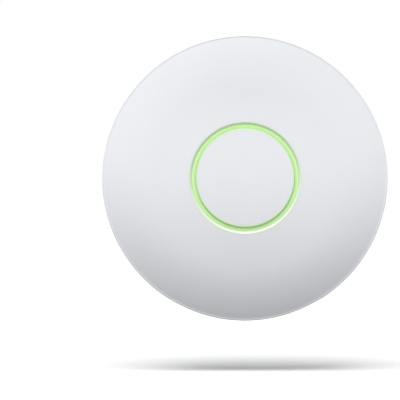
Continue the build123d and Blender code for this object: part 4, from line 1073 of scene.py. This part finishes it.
class AP_OT_rear_housing(PieceOperator, bpy.types.Operator):
    """Turn the rear bowl, raise its posts and bosses, and cut the wells and the vents"""

    bl_idname = "access_point.rear_housing"
    bl_label = "Rear Housing"

    def make(self, point):
        sizes, cover = point.rear, point.cover
        rim_h = DEPTH - cover.drop - cover.skirt_length - sizes.seam
        foot_r = DISC_R - sizes.bowl_inset
        floor_h = STANDOFF + sizes.wall
        tongue_r = DISC_R - cover.skirt - sizes.tongue_gap
        tongue_in = tongue_r - sizes.tongue
        run, rise = BOWL_R - foot_r, rim_h - STANDOFF
        chord = hypot(run, rise)
        bend = (chord**2 / 4 + sizes.bowl_bulge**2) / (2 * sizes.bowl_bulge)
        middle_r = (BOWL_R + foot_r) / 2 - (bend - sizes.bowl_bulge) * rise / chord
        middle_h = (rim_h + STANDOFF) / 2 + (bend - sizes.bowl_bulge) * run / chord
        inner = bend - sizes.wall
        inner_foot = middle_r + sqrt(inner**2 - (middle_h - floor_h) ** 2)
        inner_top = middle_h - sqrt(inner**2 - (tongue_in - middle_r) ** 2)
        chord_in = hypot(tongue_in - inner_foot, inner_top - floor_h)
        bulge_in = inner - sqrt(inner**2 - chord_in**2 / 4)
        outline = arc((BOWL_R, rim_h), (foot_r, STANDOFF), sizes.bowl_bulge, BOWL_STEPS)[::-1]
        outline += [(BOWL_R, rim_h), (tongue_r, rim_h), (tongue_r, rim_h + sizes.tongue_rise)]
        outline += [(tongue_in, rim_h + sizes.tongue_rise), (tongue_in, inner_top)]
        outline += arc((tongue_in, inner_top), (inner_foot, floor_h), bulge_in, BOWL_IN_STEPS)
        collar_out = sizes.collar_in + sizes.collar
        outline += [(collar_out, floor_h), (collar_out, sizes.collar_top)]
        outline += [(sizes.collar_in, sizes.collar_top), (sizes.collar_in, STANDOFF)]
        housing = turned("rear_housing", outline)

        posts, ears, boards = four(sizes.post_circle), four(sizes.ear_circle, pi / 4), board_places(sizes)
        middle = STANDOFF + sizes.wall / 2
        ear_pilot_h = sizes.collar_top - sizes.ear_pilot_length
        board_pilot_h = BOARD_H - sizes.board_pilot_length
        combine(
            housing,
            "UNION",
            rods(posts, sizes.post, middle, POST_TOP_H),
            rods(ears, sizes.boss, middle, sizes.collar_top),
            rods(boards, sizes.boss, middle, BOARD_H),
        )
        combine(
            housing,
            "DIFFERENCE",
            rods(posts, sizes.well, STANDOFF - OVER, sizes.well_top),
            rods(posts, sizes.hole, sizes.well_top - OVER, POST_TOP_H + OVER),
            rods(ears, sizes.boss_pilot, ear_pilot_h, sizes.collar_top + OVER),
            rods(boards, sizes.boss_pilot, board_pilot_h, BOARD_H + OVER),
            self.vent_tool(sizes),
        )
        soften(housing, sizes.edge_round, segments=2)
        settle(housing, "rear_housing", "access_point")

    def vent_tool(self, sizes):
        """One round-ended slot, modelled once and copied round the housing."""
        begin()
        low_h, high_h = STANDOFF - OVER, STANDOFF + sizes.wall + OVER
        bpy.ops.mesh.primitive_cylinder_add(
            vertices=VENT_STEPS,
            radius=sizes.vent_width / 2,
            depth=high_h - low_h,
            location=(sizes.vent_circle, -(low_h + high_h) / 2, 0.0),
            rotation=(pi / 2, pi / VENT_STEPS, 0.0),
        )
        slot = bpy.context.object
        apply_place(slot)
        stretch = (sizes.vent_length - sizes.vent_width) / 2
        draw_out(slot, lambda place: place.x > sizes.vent_circle, (stretch, 0.0, 0.0))
        draw_out(slot, lambda place: place.x < sizes.vent_circle, (-stretch, 0.0, 0.0))
        first = pi / 4 - sizes.vent_step * (sizes.vents - 1) / 2
        angles = [
            quarter * pi / 2 + first + sizes.vent_step * vent
            for quarter in range(4)
            for vent in range(sizes.vents)
        ]
        return copied(slot, [(0.0, 0.0, 0.0)] * len(angles), [(0.0, -angle, 0.0) for angle in angles])


def sector(name, inner, outer, low_h, high_h, start, end, steps=None):
    """A piece of a flat ring between two angles, or a whole one."""
    outline = [(inner, low_h), (outer, low_h), (outer, high_h), (inner, high_h)]
    steps = steps or max(2, int(degrees(end - start) / SECTOR_STEP))
    return turned(name, outline, steps=steps, start=start, span=end - start)


class AP_OT_mounting_bracket(PieceOperator, bpy.types.Operator):
    """Turn the bracket's plate, raise its hub, tabs and stops, and cut its holes"""

    bl_idname = "access_point.mounting_bracket"
    bl_label = "Mounting Bracket"

    def make(self, point):
        sizes = point.bracket
        hub_in = sizes.hub - sizes.hub_wall
        middle = sizes.plate / 2
        plate_size = (sizes.cable_hole, PLATE_R, 0.0, sizes.plate)
        bracket = sector("bracket", *plate_size, 0.0, 2 * pi, BRACKET_STEPS)
        parts = [sector("hub", hub_in, sizes.hub, middle, TAB_TOP_H, 0.0, 2 * pi)]
        tab_size = (hub_in + OVER, sizes.tab, TAB_TOP_H - sizes.tab_thick, TAB_TOP_H)
        stop_size = (hub_in + OVER, sizes.tab, middle, TAB_TOP_H)
        for lug in range(3):
            angle = pi / 2 + lug * 2 * pi / 3
            half = sizes.tab_span / 2
            parts.append(sector("tab", *tab_size, angle - half, angle + half))
            end = angle - sizes.lug_span / 2 - sizes.stop_gap
            parts.append(sector("stop", *stop_size, end - sizes.stop_span, end))
        combine(bracket, "UNION", *parts)
        through = (-OVER, sizes.plate + OVER)
        cuts = [rods(four(sizes.screw_circle, pi / 4), sizes.screw_hole, *through)]
        half_w, half_span = sizes.slot_width / 2, sizes.slot_span / 2
        slot_size = (sizes.slot_circle - half_w, sizes.slot_circle + half_w, *through)
        for quarter in range(4):
            at = quarter * pi / 2
            cuts.append(sector("slot", *slot_size, at - half_span, at + half_span))
            ends = [polar(sizes.slot_circle, at + side * half_span) for side in (-1, 1)]
            cuts.append(rods(ends, half_w, *through))
        window_size = (sizes.window_in, PLATE_R + OVER, *through)
        cuts.append(sector("window", *window_size, sizes.window_start, sizes.finger_root))
        knuckle = [polar(sizes.finger_circle, sizes.finger_root)]
        cuts.append(rods(knuckle, sizes.knuckle + sizes.knuckle_gap, *through))
        combine(bracket, "DIFFERENCE", *cuts)
        soften(bracket, sizes.edge_round, segments=2)
        settle(bracket, "mounting_bracket", "bracket")


class AP_OT_lock_finger(PieceOperator, bpy.types.Operator):
    """Model the springy finger that locks the turn, with its knuckle and nose"""

    bl_idname = "access_point.lock_finger"
    bl_label = "Lock Finger"

    def make(self, point):
        sizes = point.bracket
        low_h, high_h = sizes.finger_lift, sizes.plate
        half = sizes.finger_width / 2
        finger_size = (sizes.finger_circle - half, sizes.finger_circle + half, low_h, high_h)
        finger = sector("finger", *finger_size, sizes.finger_tip, sizes.finger_root)
        knuckle = rods([polar(sizes.finger_circle, sizes.finger_root)], sizes.knuckle, low_h, high_h)
        tip_x, tip_z = polar(sizes.finger_circle, sizes.finger_tip)
        nose = rods([(tip_x, tip_z)], sizes.nose, low_h, high_h)
        out_x, out_z = polar(1.0, sizes.finger_tip)
        reach = sizes.nose_reach - sizes.nose - sizes.finger_circle
        draw_out(
            nose,
            lambda place: (place.x - tip_x) * out_x + (place.z - tip_z) * out_z > 0.0,
            (reach * out_x, 0.0, reach * out_z),
        )
        combine(finger, "UNION", knuckle, nose)
        soften(finger, sizes.finger_round, segments=2)
        clean(finger, 2.5 * SLIVER)
        smooth(finger)
        settle(finger, "lock_finger", "lock")


class AP_OT_screws(PieceOperator, bpy.types.Operator):
    """Model a cross-head screw for each group, with a rounded head and threads, and copy it"""

    bl_idname = "access_point.screws"
    bl_label = "Screws"

    def make(self, point):
        sizes, rear = point.screws, point.rear
        large = (sizes.head, sizes.head_height, sizes.shank, sizes.shank_length)
        small = (sizes.small_head, sizes.small_head_height, sizes.small_shank)
        base, board = (*small, sizes.base_length), (*small, sizes.board_length)
        self.group("housing_screws", self.screw(sizes, *large), four(rear.post_circle), rear.well_top, pi)
        self.group("base_screws", self.screw(sizes, *base), four(rear.ear_circle, pi / 4), rear.ear_top)
        self.group("board_screws", self.screw(sizes, *board), board_places(rear), FRONT_H)

    def group(self, node, screw, places, seat, turned_by=0.0):
        """Copies a screw to its places, its head bearing on a height and looking to the front or back."""
        spots = [(x, -seat, z) for x, z in places]
        settle(copied(screw, spots, [(0.0, 0.0, turned_by)] * len(spots)), node, "access_point")

    def screw(self, sizes, head_r, head_t, shank_r, long):
        """One screw on the axis: its head bears on height 0 and looks to the front."""
        root_r = shank_r - sizes.thread
        point_l, point_r = 1.4 * shank_r, 0.25 * shank_r
        outline = [(0.0, head_t), (head_r - sizes.head_round, head_t)]
        corner = (head_r, head_t - sizes.head_round)
        outline += arc(outline[-1], corner, QUARTER * sizes.head_round, HEAD_STEPS)
        outline += [(head_r, 0.0), (shank_r, 0.0)]
        depth = sizes.plain
        while depth < long - point_l:
            outline += [(root_r, -depth), (shank_r, -depth - sizes.pitch / 2)]
            depth += sizes.pitch
        outline += [(root_r, -(long - point_l)), (point_r, -long), (0.0, -long)]
        screw = turned("screw", outline, steps=SCREW_STEPS, closed=False)
        arms = []
        long_side, short_side = sizes.drive_length, sizes.drive_width
        for wide, deep in ((long_side, short_side), (short_side, long_side)):
            begin()
            bpy.ops.mesh.primitive_cube_add(
                size=1.0,
                location=(0.0, -(head_t - sizes.drive_depth / 2 + OVER / 2), 0.0),
                scale=(wide, sizes.drive_depth + OVER, deep),
            )
            arm = bpy.context.object
            apply_place(arm)
            pick(arm, lambda place: place.y > -head_t)
            bpy.ops.transform.resize(
                value=(sizes.drive_taper, 1.0, sizes.drive_taper), center_override=(0.0, 0.0, 0.0)
            )
            bpy.ops.object.mode_set(mode="OBJECT")
            arms.append(arm)
        combine(screw, "DIFFERENCE", *arms)
        soften(screw, sizes.edge_round, segments=2)
        return screw


class AP_OT_stage(PieceOperator, bpy.types.Operator):
    """Set the floor, the soft light, the background and the camera"""

    bl_idname = "access_point.stage"
    bl_label = "Stage"

    def make(self, point):
        stage = point.stage
        scene = bpy.context.scene
        scene.view_settings.view_transform = "Standard"
        self.floor(stage)
        self.light(stage)
        self.background(stage)
        rim_h = DEPTH - point.cover.drop
        camera = bpy.data.objects.new("camera", bpy.data.cameras.new("camera"))
        scene.collection.objects.link(camera)
        camera.data.lens = camera.data.sensor_width * stage.distance / stage.across
        camera.data.clip_end = FAR
        camera.location = (-stage.left, -rim_h - stage.distance, -stage.below)
        camera.rotation_euler = (pi / 2, 0.0, 0.0)
        scene.camera = camera

    def floor(self, stage):
        begin()
        bpy.ops.mesh.primitive_plane_add(size=FLOOR_SIDE, location=(0.0, 0.0, -stage.floor_drop))
        floor = bpy.context.object
        floor.name = "floor"
        finish = Finish("floor_paint")
        seen = finish.node("ShaderNodeLightPath", output="Is Camera Ray")
        grain = finish.noise(60 * MM, detail=3.0)
        tone = finish.mix(grain, (0.85, 0.85, 0.85), (0.87, 0.87, 0.87))
        finish.set(base_color=finish.mix(seen, (0.12, 0.12, 0.12), tone), roughness=0.9)
        finish.shader.inputs["Specular IOR Level"].default_value = 0.0
        floor.data.materials.append(finish.material)

    def light(self, stage):
        sun = self.source("soft_light", "SUN", stage.sun_power)
        sun.data.angle = stage.sun_spread
        sun.rotation_euler = (pi / 2 - stage.sun_height, 0.0, -stage.sun_side)
        strip = self.panel("strip_light", stage.strip_width, stage.strip_height, stage.strip_power)
        strip.data.spread = stage.strip_spread
        strip.location = (0.0, -DEPTH - stage.strip_away, stage.strip_above)
        back = self.panel("back_light", stage.back_width, stage.back_height, stage.back_power)
        back.location = (stage.back_side, stage.back_away, -stage.back_below)
        strip.rotation_euler = (pi / 2, 0.0, 0.0)
        back.rotation_euler = (-back.location).to_track_quat("-Z", "Y").to_euler()

    def source(self, name, kind, power):
        source = bpy.data.objects.new(name, bpy.data.lights.new(name, kind))
        bpy.context.scene.collection.objects.link(source)
        source.data.energy = power
        return source

    def panel(self, name, width, height, power):
        """A soft panel of light that is never seen itself."""
        panel = self.source(name, "AREA", power)
        panel.data.shape = "RECTANGLE"
        panel.data.size = width
        panel.data.size_y = height
        panel.visible_camera = False
        panel.visible_glossy = False
        return panel

    def background(self, stage):
        world = bpy.data.worlds.new("studio")
        world.use_nodes = True
        bpy.context.scene.world = world
        tree = world.node_tree
        plain = tree.nodes["Background"]
        plain.inputs["Color"].default_value = (0.97, 0.98, 1.0, 1.0)
        plain.inputs["Strength"].default_value = stage.fill
        white = tree.nodes.new("ShaderNodeBackground")
        white.inputs["Color"].default_value = (1.0, 1.0, 1.0, 1.0)
        rays = tree.nodes.new("ShaderNodeLightPath")
        either = tree.nodes.new("ShaderNodeMath")
        either.operation = "MAXIMUM"
        choose = tree.nodes.new("ShaderNodeMixShader")
        for output, socket in (
            (rays.outputs["Is Camera Ray"], either.inputs[0]),
            (rays.outputs["Is Glossy Ray"], either.inputs[1]),
            (either.outputs[0], choose.inputs[0]),
            (plain.outputs[0], choose.inputs[1]),
            (white.outputs[0], choose.inputs[2]),
            (choose.outputs[0], tree.nodes["World Output"].inputs[0]),
        ):
            tree.links.new(output, socket)


OPERATORS = (
    AP_OT_finishes,
    AP_OT_front_cover,
    AP_OT_centre_cap,
    AP_OT_light_ring,
    AP_OT_rear_housing,
    AP_OT_mounting_bracket,
    AP_OT_lock_finger,
    AP_OT_screws,
    AP_OT_stage,
)


class AccessPointSettings(bpy.types.PropertyGroup):
    """All sizes and colours of the access point."""

    cover: PointerProperty(type=CoverSizes)
    rear: PointerProperty(type=RearSizes)
    bracket: PointerProperty(type=BracketSizes)
    screws: PointerProperty(type=ScrewSizes)
    colours: PointerProperty(type=FinishColours)
    stage: PointerProperty(type=StageSettings)


class AP_PT_sidebar(bpy.types.Panel):
    """Lists the operators and the settings"""

    bl_idname = "AP_PT_sidebar"
    bl_label = "Ceiling Access Point"
    bl_space_type = "VIEW_3D"
    bl_region_type = "UI"
    bl_category = "Access Point"

    def draw(self, context):
        for operator in OPERATORS:
            self.layout.operator(operator.bl_idname)
        point = context.scene.access_point
        for group in ("cover", "rear", "bracket", "screws", "colours", "stage"):
            box = self.layout.box()
            box.label(text=group.title())
            for key in getattr(point, group).__annotations__:
                box.prop(getattr(point, group), key)


CLASSES = (
    CoverSizes,
    RearSizes,
    BracketSizes,
    ScrewSizes,
    FinishColours,
    StageSettings,
    AccessPointSettings,
    *OPERATORS,
    AP_PT_sidebar,
)


def register():
    for each in CLASSES:
        bpy.utils.register_class(each)
    bpy.types.Scene.access_point = PointerProperty(type=AccessPointSettings)


def unregister():
    del bpy.types.Scene.access_point
    for each in reversed(CLASSES):
        bpy.utils.unregister_class(each)


def main():
    register()
    for operator in OPERATORS:
        group, name = operator.bl_idname.split(".")
        getattr(getattr(bpy.ops, group), name)()


if __name__ == "__main__":
    main()
